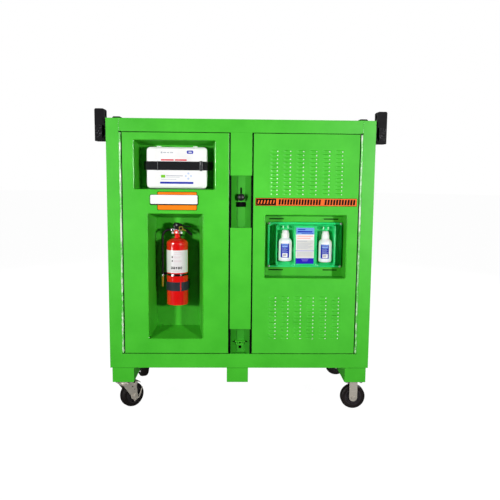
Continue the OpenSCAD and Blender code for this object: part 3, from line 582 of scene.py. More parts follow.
def aid_prints():
    y = LID[0].y - 0.05 * MM
    print_on = [
        ("aid_badge", "blue", [rect(-311, -275, 1521, 1539, 5)]),
        ("aid_badge_mark", "white", [rect(-303, -283, 1527.5, 1532.5, 2.4)]),
        ("aid_grey_mark", "grey", [disc(-455, 1527, 5), rect(-446, -428, 1524, 1529, 2),
                                   rect(-424, -412, 1524, 1529, 2),
                                   rect(-408, -390, 1524, 1529, 2)]),
        ("aid_red_bar", "red", [rect(-459, -386, 1481, 1489, 3), rect(-380, -312, 1481, 1489, 3)]),
        ("aid_green_square", "green", [rect(-459, -435, 1384, 1400, 2)]),
        ("aid_grey_lines", "grey", [rect(-430, -334, 1393, 1397.5, 1.5), rect(-430, -352, 1386, 1388, 0.9),
                                    rect(-459, -372, 1374, 1376, 0.9)]),
        ("aid_pale_dots", "pale", [disc(-318, 1395, 6), disc(-303, 1409, 6), disc(-288, 1395, 6),
                                   disc(-303, 1380, 6)]),
        ("aid_blue_bar", "blue", [rect(-465, -275, 1350, 1361, 1)]),
    ]
    for name, ink, shapes in print_on:
        raised = 0.2 * MM if name == "aid_badge_mark" else 0
        decal(name, "left_door", ink, shapes, y - raised)


def aid_strap():
    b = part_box("first_aid_strap")
    x0, x1 = LID[0].x, LID[1].x
    z0, z1 = b[0].z + 4 * MM, b[1].z - 4 * MM
    back = b[1].y
    right = [(b[1].x - 1.5 * MM, back - 0.4 * MM), (b[1].x - 4 * MM, back - 14 * MM),
             (x1 + 3.2 * MM, LID[0].y + 24 * MM)]
    right += [(x1 - (dx - 2.4) * MM, LID[0].y + (y - 1.2) * MM) for dx, dz, r, y in LID_STEPS[1:]]
    mid = [(x0 + 52 * MM + (x1 - x0 - 104 * MM) * i / 10, LID[0].y - 1.2 * MM) for i in range(11)]
    path = [(x0 + x1 - x, y) for x, y in right] + mid + list(reversed(right))
    v, f = ribbon(path, z0, z1, 1.6 * MM)
    add("aid_strap", "left_door", "webbing", v, f, MATS["webbing"], True, ["first_aid_strap"])
    middle = (x0 + x1) / 2 / MM
    y1 = LID[0].y - 2.9 * MM
    slide = plastic("slide_plastic", (84, 86, 90), (112, 114, 118), (0.4, 0.55))
    parts = [prism(rect(middle + 131, middle + 134.5, 1423, 1481, 1.5), y1 - 2.6 * MM, y1 + 3.4 * MM),
             prism(rect(middle + 143, middle + 146, 1423, 1481, 1.4), y1 - 1.2 * MM, y1 + 4.6 * MM),
             prism(rect(middle + 131, middle + 146, 1477.5, 1481, 1.5), y1 - 1.8 * MM, y1 + 3.4 * MM),
             prism(rect(middle + 131, middle + 146, 1423, 1426.5, 1.5), y1 - 1.8 * MM, y1 + 3.4 * MM),
             prism(rect(middle - 110, middle - 107.6, 1425, 1479, 1.1), y1 - 1.6 * MM, y1 + 1.6 * MM)]
    bevel(add("aid_strap_slides", "left_door", "webbing", *join_parts(parts), slide), 0.5 * MM, 2)
    parts = [prism(rect(middle + 134.6, middle + 142.9, 1426.6, 1477.4, 0.5), y1 - 0.4 * MM, y1 + 0.6 * MM),
             prism(rect(middle - 107.4, middle - 101, 1427, 1477, 0.5), y1 - 0.3 * MM, y1 + 1.2 * MM)]
    add("aid_strap_folds", "left_door", "webbing", *join_parts(parts), MATS["webbing"])


# ---- extinguisher ----

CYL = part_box("extinguisher_cylinder")
EX, EY = (CYL[0].x + CYL[1].x) / 2, (CYL[0].y + CYL[1].y) / 2
ER = (CYL[1].x - CYL[0].x) / 2
NECK = CYL[1].z - 24 * MM


def by_neck(pairs):
    """Points in X and Z, in mm from the foot of the extinguisher's neck."""
    return [(EX + a * MM, NECK + b * MM) for a, b in pairs]


def wraps(name, mat, patches, r, slot=None):
    """Patches x0, x1, z0, z1 round the extinguisher, at radius r from its axis."""
    parts = [round_patch((x0, x1), (z0, z1), (EX, EY, 0), r, 0, 0.25 * MM, max(2, int(abs(x1 - x0) / 4)))
             for x0, x1, z0, z1 in patches]
    return add(name, "left_door", slot, *join_parts(parts), mat, False)


def extinguisher_prints():
    r = ER + 0.15 * MM
    wraps("ext_label", FLAT_COLOURS["label"], [(-84, 84, 831, 964)], r)
    on = r + 0.3 * MM
    # painted shade: a greyer tint on both sides of the label, where it turns away round the cylinder
    wraps("ext_label_side_shade", flat_colour_mat("label_side_shade", (206, 216, 206), 6),
          [(62, 83.5, 832, 963), (-83.5, -66, 832, 963)], on)
    wraps("ext_label_marks", FLAT_COLOURS["black"], [(-29, -21, 921, 929), (-29, -21, 898, 906)], on)
    lines = []
    for z in (950, 941, 926, 920, 903, 897):
        lines.append((-14, 30 if z != 920 else 22, z, z + 1.8))
    lines += [(-26, 26, 844, 845.6), (-20, 20, 839, 840.4)]
    wraps("ext_label_lines", flat_colour_mat("label_lines", (206, 178, 184), 8), lines, on)
    icons = []
    for k in range(5):
        x = -33 + k * 14
        icons += [(x, x + 10, 854, 868)] if k != 2 else [(x + 1, x + 9, 855, 867)]
    wraps("ext_label_icons", FLAT_COLOURS["black"], icons, on)
    dots = [(-31, -27, 859, 864), (-16, -13, 861, 866), (-1, 2, 857, 860), (12, 15, 859, 864), (26, 30, 857, 865)]
    wraps("ext_label_icon_dots", FLAT_COLOURS["label"], dots, on + 0.3 * MM)


def extinguisher_hardware():
    """Weld ring, band clip, release tab, gauge dial and rivets."""
    z0 = CYL[0].z
    seam = [(ER + out * MM, z * MM) for out, z in ((-1, -2), (0.5, -1), (0.7, 0), (0.5, 1), (-1, 2))]
    collar = mm([(15.5, -2), (18.2, -1.5), (19, 0), (18.2, 1.6), (15.5, 3)])
    parts = [lathe(seam, (EX, EY, z0 + 16 * MM), 96), lathe(collar, (EX, EY, NECK + 2 * MM), 64)]
    add("ext_weld_rings", "left_door", "cylinder_red", *join_parts(parts), MATS["cylinder_red"], True)
    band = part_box("hose_band")
    low, high = band[0].z / MM, band[1].z / MM
    clip = [(-29, -15, low - 0.6, high + 0.6), (23, 27, low + 1, high - 1)]
    wraps("ext_band_clip", MATS["valve_metal"], clip, ER + 2.1 * MM, "valve_metal")
    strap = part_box("extinguisher_strap")
    r_out = (strap[1].x - strap[0].x) / 2
    wraps("ext_release_tab", flat_colour_mat("tab_red", (214, 20, 20)),
          [(21, 28, strap[0].z / MM - 5, strap[1].z / MM + 4)], r_out + 0.1 * MM)
    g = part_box("extinguisher_gauge")
    gx, gz = (g[0].x + g[1].x) / 2, (g[0].z + g[1].z) / 2
    r = (g[1].x - g[0].x) / 2
    rim = [(1.02, 3), (1.14, 1), (1.16, -0.6), (1.06, -2), (0.7, -2.2), (0.6, -0.4)]
    v, f = lathe([(r * k, y * MM) for k, y in rim], (gx, g[0].y, gz), 48, "Y")
    add("gauge_rim", "left_door", "gauge_face", v, f, MATS["cylinder_red"], True)
    face = g[0].y - 0.35 * MM
    decal("gauge_dial", "left_door", "white", [disc(gx / MM, gz / MM, r / MM * 0.62, 32)], face, 0.2 * MM)
    zones = (("gauge_green", "green", 60, 120), ("gauge_red", "red", 130, 200), ("gauge_over", "red", -20, 50))
    for name, ink, a0, a1 in zones:
        ring = arc(gx, gz, r * 0.54, a0, a1, 10) + arc(gx, gz, r * 0.4, a1, a0, 10)
        decal(name, "left_door", ink, [ring], face - 0.25 * MM, 0.15 * MM)
    needle = [(gx - 0.6 * MM, gz - 2 * MM), (gx + 0.6 * MM, gz - 2 * MM), (gx + 1.4 * MM, gz + r * 0.5)]
    decal("gauge_needle", "left_door", "black", [needle], face - 0.45 * MM, 0.2 * MM)
    prong = mm([(0, -9), (4, -8.6), (6.2, -6.6), (6.8, -4), (6.2, 2), (5, 8)])
    parts = [lathe(prong, (EX + dx * MM, EY - 15 * MM, NECK + 30 * MM), 24, "Y") for dx in (-25, 26)]
    parts.append(slab(EX - 20 * MM, EX + 20 * MM, NECK + 27 * MM, NECK + 31 * MM, EY - 13.5 * MM, EY - 9 * MM))
    silver = flat_colour_mat("silver_tips", (226, 228, 226))
    add("ext_prongs", "left_door", "valve_metal", *join_parts(parts), silver, True)
    yoke = [(-11, 52), (4, 47), (30, 50), (33, 62), (22, 78), (4, 84), (-9, 84), (-13, 74)]
    v, f = prism(by_neck(yoke), EY - 16.6 * MM, EY - 13.8 * MM)
    bevel(add("ext_yoke", "left_door", "lever_black", v, f, MATS["lever_black"]), 1 * MM, 2)
    grip = [(22, 57), (48, 50), (84, 26), (90, 20), (88, 13), (80, 14), (54, 34), (24, 47)]
    v, f = prism(by_neck(grip), EY - 14 * MM, EY - 12 * MM)
    bevel(add("ext_grip_side", "left_door", "lever_black", v, f, MATS["lever_black"]), 0.8 * MM, 2)
    foot = [(-13, -12), (13, -12), (14, -8), (14, 8), (12, 11), (-12, 11), (-14, 8), (-14, -8)]
    v, f = loft([[(EX + a * MM, EY + b * MM, NECK + z * MM) for a, b in foot] for z in (4, 30)])
    bevel(add("ext_valve_foot", "left_door", "cylinder_red", v, f, MATS["cylinder_red"]), 1.5 * MM, 3)
    v, f = join_parts([domed_screw(EX - 2 * MM, EY - 17 * MM, NECK + 75 * MM, 4.4 * MM),
                       domed_screw(EX - 17 * MM, EY - 13.4 * MM, NECK + 66 * MM, 2.6 * MM)])
    add("ext_rivets", "left_door", "valve_metal", v, f, MATS["valve_metal"], True)
    port = mm([(9.8, 0), (10.6, 1), (10.6, 3.4), (9.8, 4.4), (9.8, 6), (10.4, 7), (10.4, 9), (8, 10)])
    end = mm([(7.4, 0), (8.8, 1), (8.8, 12), (7.3, 14)])
    parts = [lathe(port, (EX - 38 * MM, EY, NECK + 46 * MM), 32, "X"),
             lathe(end, (EX - 87 * MM, EY, CYL[0].z + 168 * MM), 32)]
    add("hose_ferrules", "left_door", "valve_metal", *join_parts(parts), MATS["valve_metal"], True)
    tag = [(26, 51), (31, 54), (52, 46), (54, 39), (34, 45)]
    v, f = prism(by_neck(tag), EY - 23.4 * MM, EY - 22 * MM)
    olive = flat_colour_mat("tag_olive", (132, 124, 20))
    bevel(add("pin_tag", "safety_pin", "pin_yellow", v, f, olive), 0.5 * MM, 2)


# ---- eyewash station ----

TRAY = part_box("eyewash_tray")
B_LEFT, B_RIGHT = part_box("eyewash_bottle_left"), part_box("eyewash_bottle_right")


def smooth(t):
    """0 to 1 with soft ends."""
    t = min(1.0, max(0.0, t))
    return t * t * (3 - 2 * t)


def box_distance(x, z, x0, x1, z0, z1, r):
    """Signed distance to a rounded rectangle, negative inside."""
    dx = abs(x - (x0 + x1) / 2) - (x1 - x0) / 2 + r
    dz = abs(z - (z0 + z1) / 2) - (z1 - z0) / 2 + r
    return math.hypot(max(dx, 0), max(dz, 0)) + min(max(dx, dz), 0) - r


def eyewash_tray():
    """The thermoformed tray as one height field over its flange."""
    x0, x1, z0, z1 = TRAY[0].x / MM, TRAY[1].x / MM, TRAY[0].z / MM, TRAY[1].z / MM
    depth = (TRAY[1].y - TRAY[0].y) / MM
    bays = [(211, 315, B_LEFT), (432, 553, B_RIGHT)]
    body = (206, 558, z0 + 16, z1 - 14)
    corner = 18.0

    def height(x, z):
        rim = box_distance(x, z, x0, x1, z0, z1, corner)
        h = 2.5 + 17 * smooth(-rim / 4) * smooth((rim + 17) / 5)
        d = box_distance(x, z, *body, 12)
        h = max(h, 2.5 + (depth - 4.5) * smooth(0.5 - d / 9))
        for b0, b1, b in bays:
            bx, bz0, bz1 = (b[0].x + b[1].x) / 2 / MM, b[0].z / MM, b[1].z / MM
            bay = box_distance(x, z, b0, b1, z0 + 18, z1 - 18, 13)
            u = abs(x - bx)
            floor = 9 + (depth - 19) * max(0.0, min(1.0, (u - 39) / 12))
            foot = max(0.0, min(1.0, (bz0 - 2 - z) / (bz0 - z0 - 20)))
            head = max(0.0, min(1.0, (z - bz1 - 8) / 22))
            floor += (depth - 12 - floor) * max(foot, 0.45 * head)
            rise = smooth(0.5 - bay / 7)
            h = h + (min(floor, depth - 4) - h) * rise
            side = math.hypot(max(0, abs(u - 41) - 1), max(0, abs(z - bz0 - 62) - 8))
            h += 13 * smooth(1.2 - side / 7) * rise
        return h

    nx, nz = 240, 150
    v, f = [], []
    for j in range(nz + 1):
        for i in range(nx + 1):
            x = x0 + (x1 - x0) * i / nx
            z = z0 + (z1 - z0) * j / nz
            cx = min(max(x, x0 + corner), x1 - corner)
            cz = min(max(z, z0 + corner), z1 - corner)
            d = math.hypot(x - cx, z - cz)
            if d > corner:
                x, z = cx + (x - cx) * corner / d, cz + (z - cz) * corner / d
            v.append((x * MM, TRAY[1].y - height(x, z) * MM, z * MM))
    for j in range(nz):
        for i in range(nx):
            p = j * (nx + 1) + i
            f.append([p, p + 1, p + nx + 2, p + nx + 1])
    o = add("eyewash_tray_shell", "right_door", "tray_green", v, f, MATS["tray_green"], True,
            ["eyewash_tray"])
    # painted highlights: the clips above the bottles get a pale green, for the glints on them
    clip = mm([(0, -7), (3.4, -6), (4.4, -2), (4.4, 8), (3.2, 11), (0, 12)])
    v, f = join_parts([lathe(clip, ((b[0].x + b[1].x) / 2 + dx * MM, TRAY[0].y + 5 * MM, b[1].z + 15 * MM), 18)
                       for b in (B_LEFT, B_RIGHT) for dx in (-15, 13)])
    add("eyewash_clips", "right_door", "tray_green", v, f,
        plastic("clip_glint_green", (140, 236, 176), (186, 246, 206), (0.15, 0.25), 0.8), True)
    s = o.modifiers.new("wall", "SOLIDIFY")
    s.thickness = 1.6 * MM
    s.offset = -1
    parts = [domed_screw(x * MM, TRAY[1].y - 19.8 * MM, z * MM, 5.5 * MM)
             for x in (x0 + 10, x1 - 10) for z in (z0 + 10, z1 - 10)]
    add("eyewash_screws", "right_door", "bolt_steel", *join_parts(parts), MATS["bolt_steel"], True)


def eyewash_card():
    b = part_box("eyewash_card")
    x0, x1, z0, z1 = b[0].x / MM, b[1].x / MM, b[0].z / MM, b[1].z / MM
    y = b[0].y
    w, h = x1 - x0, z1 - z0

    def band(top, bottom, left=0.0, right=1.0, r=0.0):
        return rect(x0 + w * left, x0 + w * right, z1 - h * bottom, z1 - h * top, r)

    decal("card_top", "right_door", "sky", [band(0, 0.185)], y)
    top_lines = [band(0.035, 0.06, 0.1, 0.5), band(0.09, 0.13, 0.08, 0.9, 2), band(0.155, 0.17, 0.3, 0.95)]
    decal("card_top_lines", "right_door", "blue", top_lines, y - 0.3 * MM)
    pink = [band(0.215, 0.25, 0.06, 0.94, 2), band(0.275, 0.31, 0.06, 0.8, 2)]
    decal("card_pink", "right_door", "pink", pink, y)
    lines = [band(0.36, 0.378, 0.06, 0.62, 1)]
    for k, t in enumerate((0.42, 0.45, 0.48, 0.51, 0.54, 0.57)):
        lines.append(band(t, t + 0.009, 0.06, 0.92 - 0.12 * (k % 3)))
    lines += [band(t, t + 0.008, 0.06, 0.94) for t in (0.68, 0.71, 0.74, 0.77)]
    decal("card_lines", "right_door", "grey", lines, y)
    FLAT_COLOURS["sheet"] = flat_colour_mat("card_grey", (214, 214, 208), 5)
    sheets = [band(0.345, 0.62, 0.03, 0.97), band(0.655, 0.83, 0.03, 0.97)]
    decal("card_sheet", "right_door", "sheet", sheets, y + 0.12 * MM)
    decal("card_rule", "right_door", "violet", [band(0.63, 0.645)], y)
    decal("card_foot", "right_door", "deep_blue", [band(0.84, 1.0)], y)
    foot = band(0.855, 0.93, 0.3, 0.72)
    foot[0] = (foot[0][0] + 8 * MM, foot[0][1])
    foot[1] = (foot[1][0] - 8 * MM, foot[1][1])
    decal("card_foot_mark", "right_door", "violet", [foot], y - 0.3 * MM)


BOTTLE_SQUASH = 0.98


def eyewash_bottle(side, box):
    body = "bottle_" + side
    cx, cy = (box[0].x + box[1].x) / 2, (box[0].y + box[1].y) / 2
    z0 = box[0].z
    r = (box[1].x - box[0].x) / 2
    prof = [(0, 2.2), (18, 1.6), (28, 0.3), (33, 0), (36, 1.6), (37.6, 6), (38, 12), (38, 106), (37.8, 112),
            (36.4, 118), (33.4, 124), (29, 129), (25, 132.5), (22, 135), (20.5, 137), (20, 141)]
    k = r / (38 * MM)
    v, f = lathe([(a * MM * k, b * MM) for a, b in prof], (cx, cy, z0), 56, "Z", BOTTLE_SQUASH)
    add("eyewash_bottle_body_" + side, body, "bottle_plastic", v, f, MATS["bottle_plastic"], True,
        ["eyewash_bottle_" + side])
    rings = []
    n = 96
    for h, rad, rib in ((136.6, 20.8, 0), (137.4, 22, 0.4), (140, 22, 0.5), (158, 21.4, 0.5), (160, 21, 0.2),
                        (161.5, 20, 0), (172, 18.8, 0), (178, 17.6, 0), (180.6, 14.5, 0), (181, 0.01, 0)):
        rings.append([(cx + (rad + rib * (1 if i % 4 < 2 else 0)) * MM * math.cos(2 * math.pi * i / n),
                       cy + (rad + rib * (1 if i % 4 < 2 else 0)) * MM * math.sin(2 * math.pi * i / n),
                       z0 + h * MM)
                      for i in range(n)])
    v, f = loft(rings)
    add("eyewash_cap_" + side, body, "bottle_plastic", v, f,
        plastic("cap_" + side, (236, 234, 234), (248, 246, 246), (0.3, 0.42), 0.1), True)

    a0, a1 = (-31, 48) if side == "left" else (-32, 23)
    w = min(a1, 22) - a0
    sheets = [("label", "blue", [(a0, min(a1, 22), 22, 104)], 0.1),
              ("label_flap", "white", [(22.2, 48, 22, 104)] if side == "left" else [(18, 23, 22, 104)], 0.3),
              ("label_sky", "sky", [(a0 + 6, a0 + w - 6, 97, 102), (a0 + 10, a0 + w - 10, 83, 91)], 0.35),
              ("label_lines", "pale", [(a0 + 9, a0 + w - 9 - k % 3 * 5, z, z + 1.1) for k, z in
                                       enumerate((93, 87, 78, 72, 67, 62, 57, 53))], 0.6),
              ("label_code", "white", [(a0 + 12, a0 + w - 11, 25, 48)], 0.35),
              ("label_code_bars", "slate", [(a0 + 17 + k * 5, a0 + 19 + k * 5, 30, 44) for k in range(4)],
               0.6)]
    for name, ink, boxes, lift in sheets:
        parts = [round_patch((a, b), (c, d), (cx, cy, z0), r, lift * MM, 0.2 * MM, 14, BOTTLE_SQUASH)
                 for a, b, c, d in boxes]
        add("eyewash_%s_%s" % (name, side), body, None, *join_parts(parts), FLAT_COLOURS[ink])


# ---- body details ----

def weld_bead(a, b, r, seed):
    """A rippled bead from a to b."""
    rnd = random.Random(seed)
    a, b = Vector(a), Vector(b)
    n = max(4, int((b - a).length / (3.2 * MM)))
    axis = (b - a).normalized()
    side = axis.orthogonal().normalized()
    up = axis.cross(side)
    rings = []
    for i in range(n + 1):
        p = a + (b - a) * i / n
        rr = r * (0.72 + 0.34 * (i % 2) + 0.2 * rnd.random()) * (0.35 if i in (0, n) else 1)
        rings.append(circle(p, side, up, rr, 8))
    return loft(rings)


def body_welds():
    """Beads where the stiles meet the rails."""
    rail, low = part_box("top_rail"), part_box("bottom_rail")
    y_top, y_low = FRONT + 0.6 * MM, FRONT + 0.8 * MM
    parts = []
    for k, x in enumerate((-STILE, STILE)):
        parts.append(weld_bead((x, y_top, rail[0].z + 1 * MM), (x, y_top, ROOF - 2 * MM), 1.7 * MM, 5 + k))
        parts.append(weld_bead((x, y_low, low[0].z + 3 * MM), (x, y_low, low[1].z - 1 * MM), 1.2 * MM, 9 + k))
    add("frame_weld_beads", "cabinet", "body_paint", *join_parts(parts), GREEN, True)


def door_gap_shade():
    """Painted shade: black strips behind the gaps round each door, so the gaps read dark, and black plugs at the
    hinges' ends.
    """
    z0, z1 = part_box("bottom_rail")[1].z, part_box("top_rail")[0].z
    inner, outer = POST + 0.3 * MM, STILE - 13 * MM
    # x from, x to, z from, z to, and the depths behind the front
    strips = [(inner, outer, z0 + 0.2 * MM, z0 + 3.7 * MM, 2.6, 9),
              (inner, outer, z1 - 3.7 * MM, z1 - 0.2 * MM, 2.6, 9),
              (inner, POST + 8.5 * MM, z0 + 0.2 * MM, z1 - 0.2 * MM, 2.6, 9),
              (STILE - 9.7 * MM, STILE - 2.3 * MM, z0 + 0.4 * MM, z1 - 0.4 * MM, 8, 12),
              (STILE - 11 * MM, STILE - 0.6 * MM, z1 - 5.6 * MM, z1 + 1.5 * MM, -2.5, -0.1),
              (STILE - 11 * MM, STILE - 0.6 * MM, z0 + 0.3 * MM, z0 + 4.2 * MM, -1.5, 6)]
    parts = [slab(*mirrored(s, xa, xb), za, zb, FRONT + ya * MM, FRONT + yb * MM)
             for s in (-1, 1) for xa, xb, za, zb, ya, yb in strips]
    add("door_gap_shade", "cabinet", "hose_rubber", *join_parts(parts), flat_colour_mat("gap_shade_black", (4, 5, 4), 2))


def frame_ring(x0, x1, z0, z1, r, wire):
    """A closed bead round an opening in the front sheet."""
    pts = [Vector((x, FRONT - 0.2 * MM, z)) for x, z in rect(x0, x1, z0, z1, r)]
    n = len(pts)
    rings = []
    for i, p in enumerate(pts):
        t = (pts[(i + 1) % n] - pts[i - 1]).normalized()
        out = t.cross(Vector((0, 1, 0)))
        rings.append(circle(p, out, Vector((0, 1, 0)), wire * MM, 10))
    v, f = loft(rings, False)
    m = len(rings[0])
    f += [[(n - 1) * m + i, (n - 1) * m + (i + 1) % m, (i + 1) % m, i] for i in range(m)]
    return v, f


def pocket_trims():
    """The rolled edges of the pocket openings, and painted shade: black backs in the slots behind the eyewash
    tray.
    """
    gloss = paint("rolled_edge", (66, 190, 40), (82, 206, 54), (0.14, 0.22), 0.02, 0.5)
    v, f = join_parts([frame_ring(*AID_OPENING, RIM_WIRE), frame_ring(*EXT_OPENING, RIM_WIRE)])
    add("left_pocket_trims", "left_door", "body_paint", v, f, gloss, True)
    v, f = frame_ring(*WASH_OPENING, RIM_WIRE)
    add("right_pocket_trim", "right_door", "body_paint", v, f, gloss, True)
    y = FRONT + 100 * MM
    v, f = join_parts([prism(rect(x, x + 86, z, z + 6.4), y - 0.4 * MM, y + 1.8 * MM) for x in (168, 491)
                       for z in (841, 1145.5)])
    add("pocket_slot_shade", "right_door", None, v, f, flat_colour_mat("slot_shade_black", (3, 4, 3), 1))


def louvres():
    """The right-hand end and the height of each louvre in the two blocks of 6 by 12, in mm."""
    return [(214 + i * 74, top - j * 22) for top in (1541, 696) for i in range(6) for j in range(12)]


def louvre_shadows():
    """Painted shade: a dark strip behind each louvre's mouth."""
    parts = [prism(rect(x - 40.5, x - 10.5, z - 4.8, z + 1.5), FRONT + 0.6 * MM, FRONT + 1.8 * MM)
             for x, z in louvres()]
    add("louvre_mouth_shade", "right_door", None, *join_parts(parts), flat_colour_mat("louvre_shade_black", (8, 26, 6), 3))


def louvre_glints():
    """Painted highlights: pale strips on the ramps at the ends of the louvres, whose hoods stand 6 mm proud and
    slope down over 14 mm.
    """
    # span from the louvre's right-hand end, depth of the ramp's ends below the hood, colour, roughness
    for name, xa, xb, da, db, rgb, rough in (
            ("louvre_glints_right", -13, -6.5, (14 - 13) * 6 / 14, (14 - 6.5) * 6 / 14, (246, 255, 240),
             (0.3, 0.4)),
            ("louvre_glints_left", -44, -38.5, 3, 0.6, (92, 212, 70), (0.6, 0.75))):
        ya, yb = FRONT - (6 - da + 0.3) * MM, FRONT - (6 - db + 0.3) * MM
        parts = []
        for x, z in louvres():
            x0, x1, z0, z1 = (x + xa) * MM, (x + xb) * MM, (z - 4.6) * MM, (z + 0.4) * MM
            v = [(x0, ya, z0), (x1, yb, z0), (x1, yb + 0.2 * MM, z1), (x0, ya + 0.2 * MM, z1)]
            parts.append((v + [(px, py + 0.5 * MM, pz) for px, py, pz in v], prism_faces(4)))
        add(name, "right_door", None, *join_parts(parts), paint(name, [c - 8 for c in rgb], rgb, rough))


def hinge_glints_and_shadows():
    """Painted highlights as pale specks on the hinge barrels and the welds' crests, painted shade as a dark strip
    in the joint beside each barrel, and painted shadows beside the lock recesses.
    """
    rnd = random.Random(SEED + 3)
    glint_white = flat_colour_mat("glint_white_specks", (226, 240, 222), 10)
    parts = []
    z0, z1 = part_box("bottom_rail")[1].z + 8 * MM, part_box("top_rail")[0].z - 8 * MM
    for s in (-1, 1):
        # painted highlights: pale specks on the hinge barrel
        z = z0 + 12 * MM
        while z < z1 - 20 * MM:
            h, r = rnd.uniform(2, 7) * MM, rnd.uniform(1.1, 2.2) * MM
            parts.append(lathe([(0, 0), (r, h * 0.3), (r, h * 0.7), (0, h)],
                               (s * (STILE - 6 * MM) + rnd.uniform(-1.5, 1.5) * MM, FRONT - 4.1 * MM, z), 10))
            z += rnd.uniform(12, 60) * MM
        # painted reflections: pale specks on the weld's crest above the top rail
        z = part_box("top_rail")[0].z + 10 * MM
        while z < ROOF - 8 * MM:
            r = rnd.uniform(1.0, 1.9) * MM
            parts.append(lathe([(0, -r), (r * 0.7, -r * 0.7), (r, 0), (r * 0.7, r * 0.7), (0, r)],
                               (s * STILE, FRONT - 0.4 * MM, z), 12, "Y"))
            z += rnd.uniform(5, 14) * MM
    add("hinge_and_weld_glints", "cabinet", None, *join_parts(parts), glint_white, True)
    # painted shade: a black strip in the joint beside each hinge barrel
    z0, z1 = z0 - 3 * MM, z1 + 3 * MM
    for name, s in (("left_door", -1), ("right_door", 1)):
        joint = slab(*mirrored(s, STILE - 17 * MM, STILE - 11.9 * MM), z0, z1, FRONT - 0.35 * MM, FRONT)
        add(name + "_hinge_gap_shade", name, None, *joint, FLAT_COLOURS["black"])
    # painted shadows: black strips on the post beside the lock recesses
    parts = []
    for node in ("lock_recess_upper", "lock_recess_lower"):
        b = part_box(node)
        for s in (-1, 1):
            parts.append(slab(*mirrored(s, POST - 5 * MM, POST + 0.2 * MM), b[0].z, b[1].z,
                              FRONT - 0.35 * MM, FRONT + 1.5 * MM))
    add("recess_side_shadows", "cabinet", None, *join_parts(parts), FLAT_COLOURS["black"])


def bracket_plates():
    """A speckled plate on the front of each lift bracket."""
    m = Mat("speckled_plate", rough=0.5, spec=0.1)
    m.base(m.noise(150.0, 3.0, 0.7), linear(14, 13, 16), linear(120, 118, 124), 0.56, 0.70)
    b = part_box("lift_brackets")
    parts = []
    for s in (-1, 1):
        xc = s * (b[1].x - 27 * MM)
        outline = rounded(xc - 20 * MM, xc + 18 * MM, b[1].z - 164 * MM, b[1].z - 94 * MM, 3 * MM, 3)
        parts.append(prism(outline, b[0].y - 0.5 * MM, b[0].y + 0.1 * MM))
    add("bracket_plates", "cabinet", "black_paint", *join_parts(parts), m.mat)


def plates():
    """The plain plates that stand in for the badge and the name strip."""
    y = FRONT - 0.05 * MM
    decal("badge_edge", "left_door", "black", [rect(-478, -251, 1200, 1306, 7)], y, 0.5 * MM)
    decal("badge_plate", "left_door", "orange", [rect(-475, -254, 1203, 1303, 6)], y - 0.5 * MM, 0.3 * MM)
    decal("badge_band_edge", "left_door", "black", [rect(-520, -243, 1229, 1289, 8)], y - 0.55 * MM, 0.5 * MM)
    decal("badge_band", "left_door", "white", [rect(-517, -249, 1236, 1287, 6)], y - 1.05 * MM, 0.3 * MM)
    decal("strip_edge", "right_door", "black", [rect(82, 666, 1229.5, 1275.5, 1)], y, 0.4 * MM)
    decal("strip_plate", "right_door", "strip", [rect(84, 664, 1232, 1273, 1)], y - 0.4 * MM, 0.3 * MM)
    decal("strip_block", "right_door", "black", [rect(86, 200, 1234, 1271, 1)], y - 0.7 * MM, 0.25 * MM)
    slashes = []
    for start, count in ((214, 15), (478, 11)):
        for k in range(count):
            x = start + k * 16.4
            slashes.append(mm([(x, 1237), (x + 11, 1237), (x + 14, 1268), (x + 3, 1268)]))
    decal("strip_slashes", "right_door", "black", slashes, y - 0.7 * MM, 0.25 * MM)
    marks = []
    for k in range(6):
        x = 94 + k * 17.5
        marks.append(mm([(x, 1242), (x + 7, 1242), (x + 12, 1263), (x + 5, 1263)]))
    decal("strip_block_marks", "right_door", "strip", marks, y - 0.95 * MM, 0.25 * MM)


def caster_details():
    """Pressed braces and rivets on the swivel forks, whose plates lie at 32 mm from the wheel's middle."""
    brace = [(96, 118), (101, 114), (78, 58), (40, 38), (36, 43), (70, 62)]
    rivets = [disc(x, z, r, 16) for x, z, r in ((30, 132, 4.2), (44, 112, 3))]
    for name, degrees in (("front_swivel", 42), ("rear_swivel", -65)):
        joint = next(j for j in frame["joints"] if j["name"] == name + "_turn")
        turn = math.radians(degrees)
        px, py = joint["pos_m"][:2]

        def plate(outline, y0, y1):
            """A plate beside the fork, turned with the caster."""
            v = [(px + (x * math.cos(turn) - y * math.sin(turn)) * MM,
                  py + (x * math.sin(turn) + y * math.cos(turn)) * MM, z * MM)
                 for y in (y0, y1) for x, z in outline]
            return v, prism_faces(len(outline))

        parts = [plate(brace, s * 36.6, s * 34.4) for s in (-1, 1)]
        bevel(add(name + "_brace", joint["child"], "zinc", *join_parts(parts), MATS["zinc"]), 0.8 * MM, 2)
        parts = [plate([(x / MM, z / MM) for x, z in ring], s * 32.5, s * 31.6)
                 for s in (-1, 1) for ring in rivets]
        add(name + "_pits", joint["child"], None, *join_parts(parts), FLAT_COLOURS["black"])


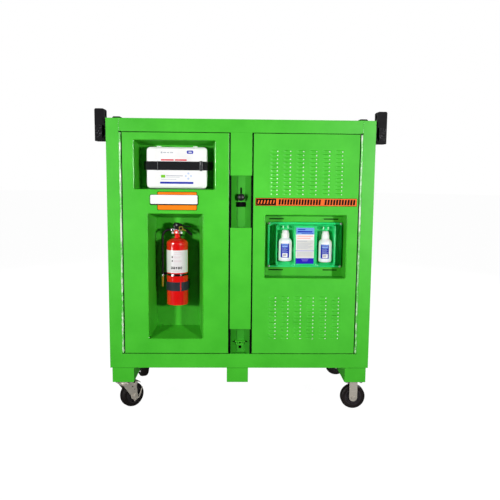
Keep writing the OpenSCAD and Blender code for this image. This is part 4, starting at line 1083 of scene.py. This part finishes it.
def shadow_lines():
    """Painted shadows: dark lines where the skids meet the body, and black bars beside the top of the foot
    bracket.
    """
    parts = []
    for node in ("skid_left", "skid_center", "skid_right"):
        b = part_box(node)
        parts.append(slab(b[0].x + 1 * MM, b[1].x - 1 * MM, b[1].z - 3.4 * MM, b[1].z - 0.2 * MM,
                          b[0].y - 0.4 * MM, b[0].y + 0.2 * MM))
    add("skid_shadow_lines", "cabinet", None, *join_parts(parts), flat_colour_mat("seam_shadow_green", (28, 104, 16)))
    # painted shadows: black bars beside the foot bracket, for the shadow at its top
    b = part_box("foot_bracket")
    z = b[1].z
    parts = [slab(b[i].x + dx * MM, b[i].x + (dx + 17) * MM, z - 7 * MM, z - 1 * MM,
                  b[0].y + 2 * MM, b[0].y + 4 * MM) for i, dx in ((0, -17.5), (1, 0.5))]
    add("foot_bracket_shadows", "cabinet", None, *join_parts(parts), FLAT_COLOURS["black"])


def wheel_colours():
    """The wheels' cores and tyres, told apart by their distance from the axle."""
    core = plastic("wheel_core", (34, 31, 34), (54, 48, 52), (0.3, 0.45), 0.1)
    for j in frame["joints"]:
        if not j["child"].endswith("_wheel"):
            continue
        o = NODES[j["child"]]
        o.data.materials.append(core)
        centre, axis = Vector(j["pos_m"]), Vector(j["axis"]).normalized()
        for p in o.data.polygons:
            d = p.center - centre
            if (d - axis * d.dot(axis)).length < 48.5 * MM:
                p.material_index = 1
        for k, side in enumerate((-1, 1)):
            base = centre + axis * side * 26.6 * MM
            up = Vector((0, 0, 1))
            across = axis.cross(up).normalized()
            rings = []
            for r, h in ((17.5, -3), (17.5, 0), (16, 0.9), (9, 1.1), (8, 0.2), (7, -2)):
                rings.append(circle(base + axis * side * (h * MM - 0.9 * MM), across, up, r * MM, 32))
            v, f = loft(rings)
            add("%s_bearing_%d" % (j["child"], k), j["child"], "zinc", v, f, MATS["zinc"], True)


aid_lid()
aid_prints()
aid_strap()
extinguisher_prints()
extinguisher_hardware()
eyewash_tray()
eyewash_card()
eyewash_bottle("left", B_LEFT)
eyewash_bottle("right", B_RIGHT)
body_welds()
door_gap_shade()
pocket_trims()
louvre_shadows()
louvre_glints()
hinge_glints_and_shadows()
bracket_plates()
plates()
caster_details()
shadow_lines()
wheel_colours()
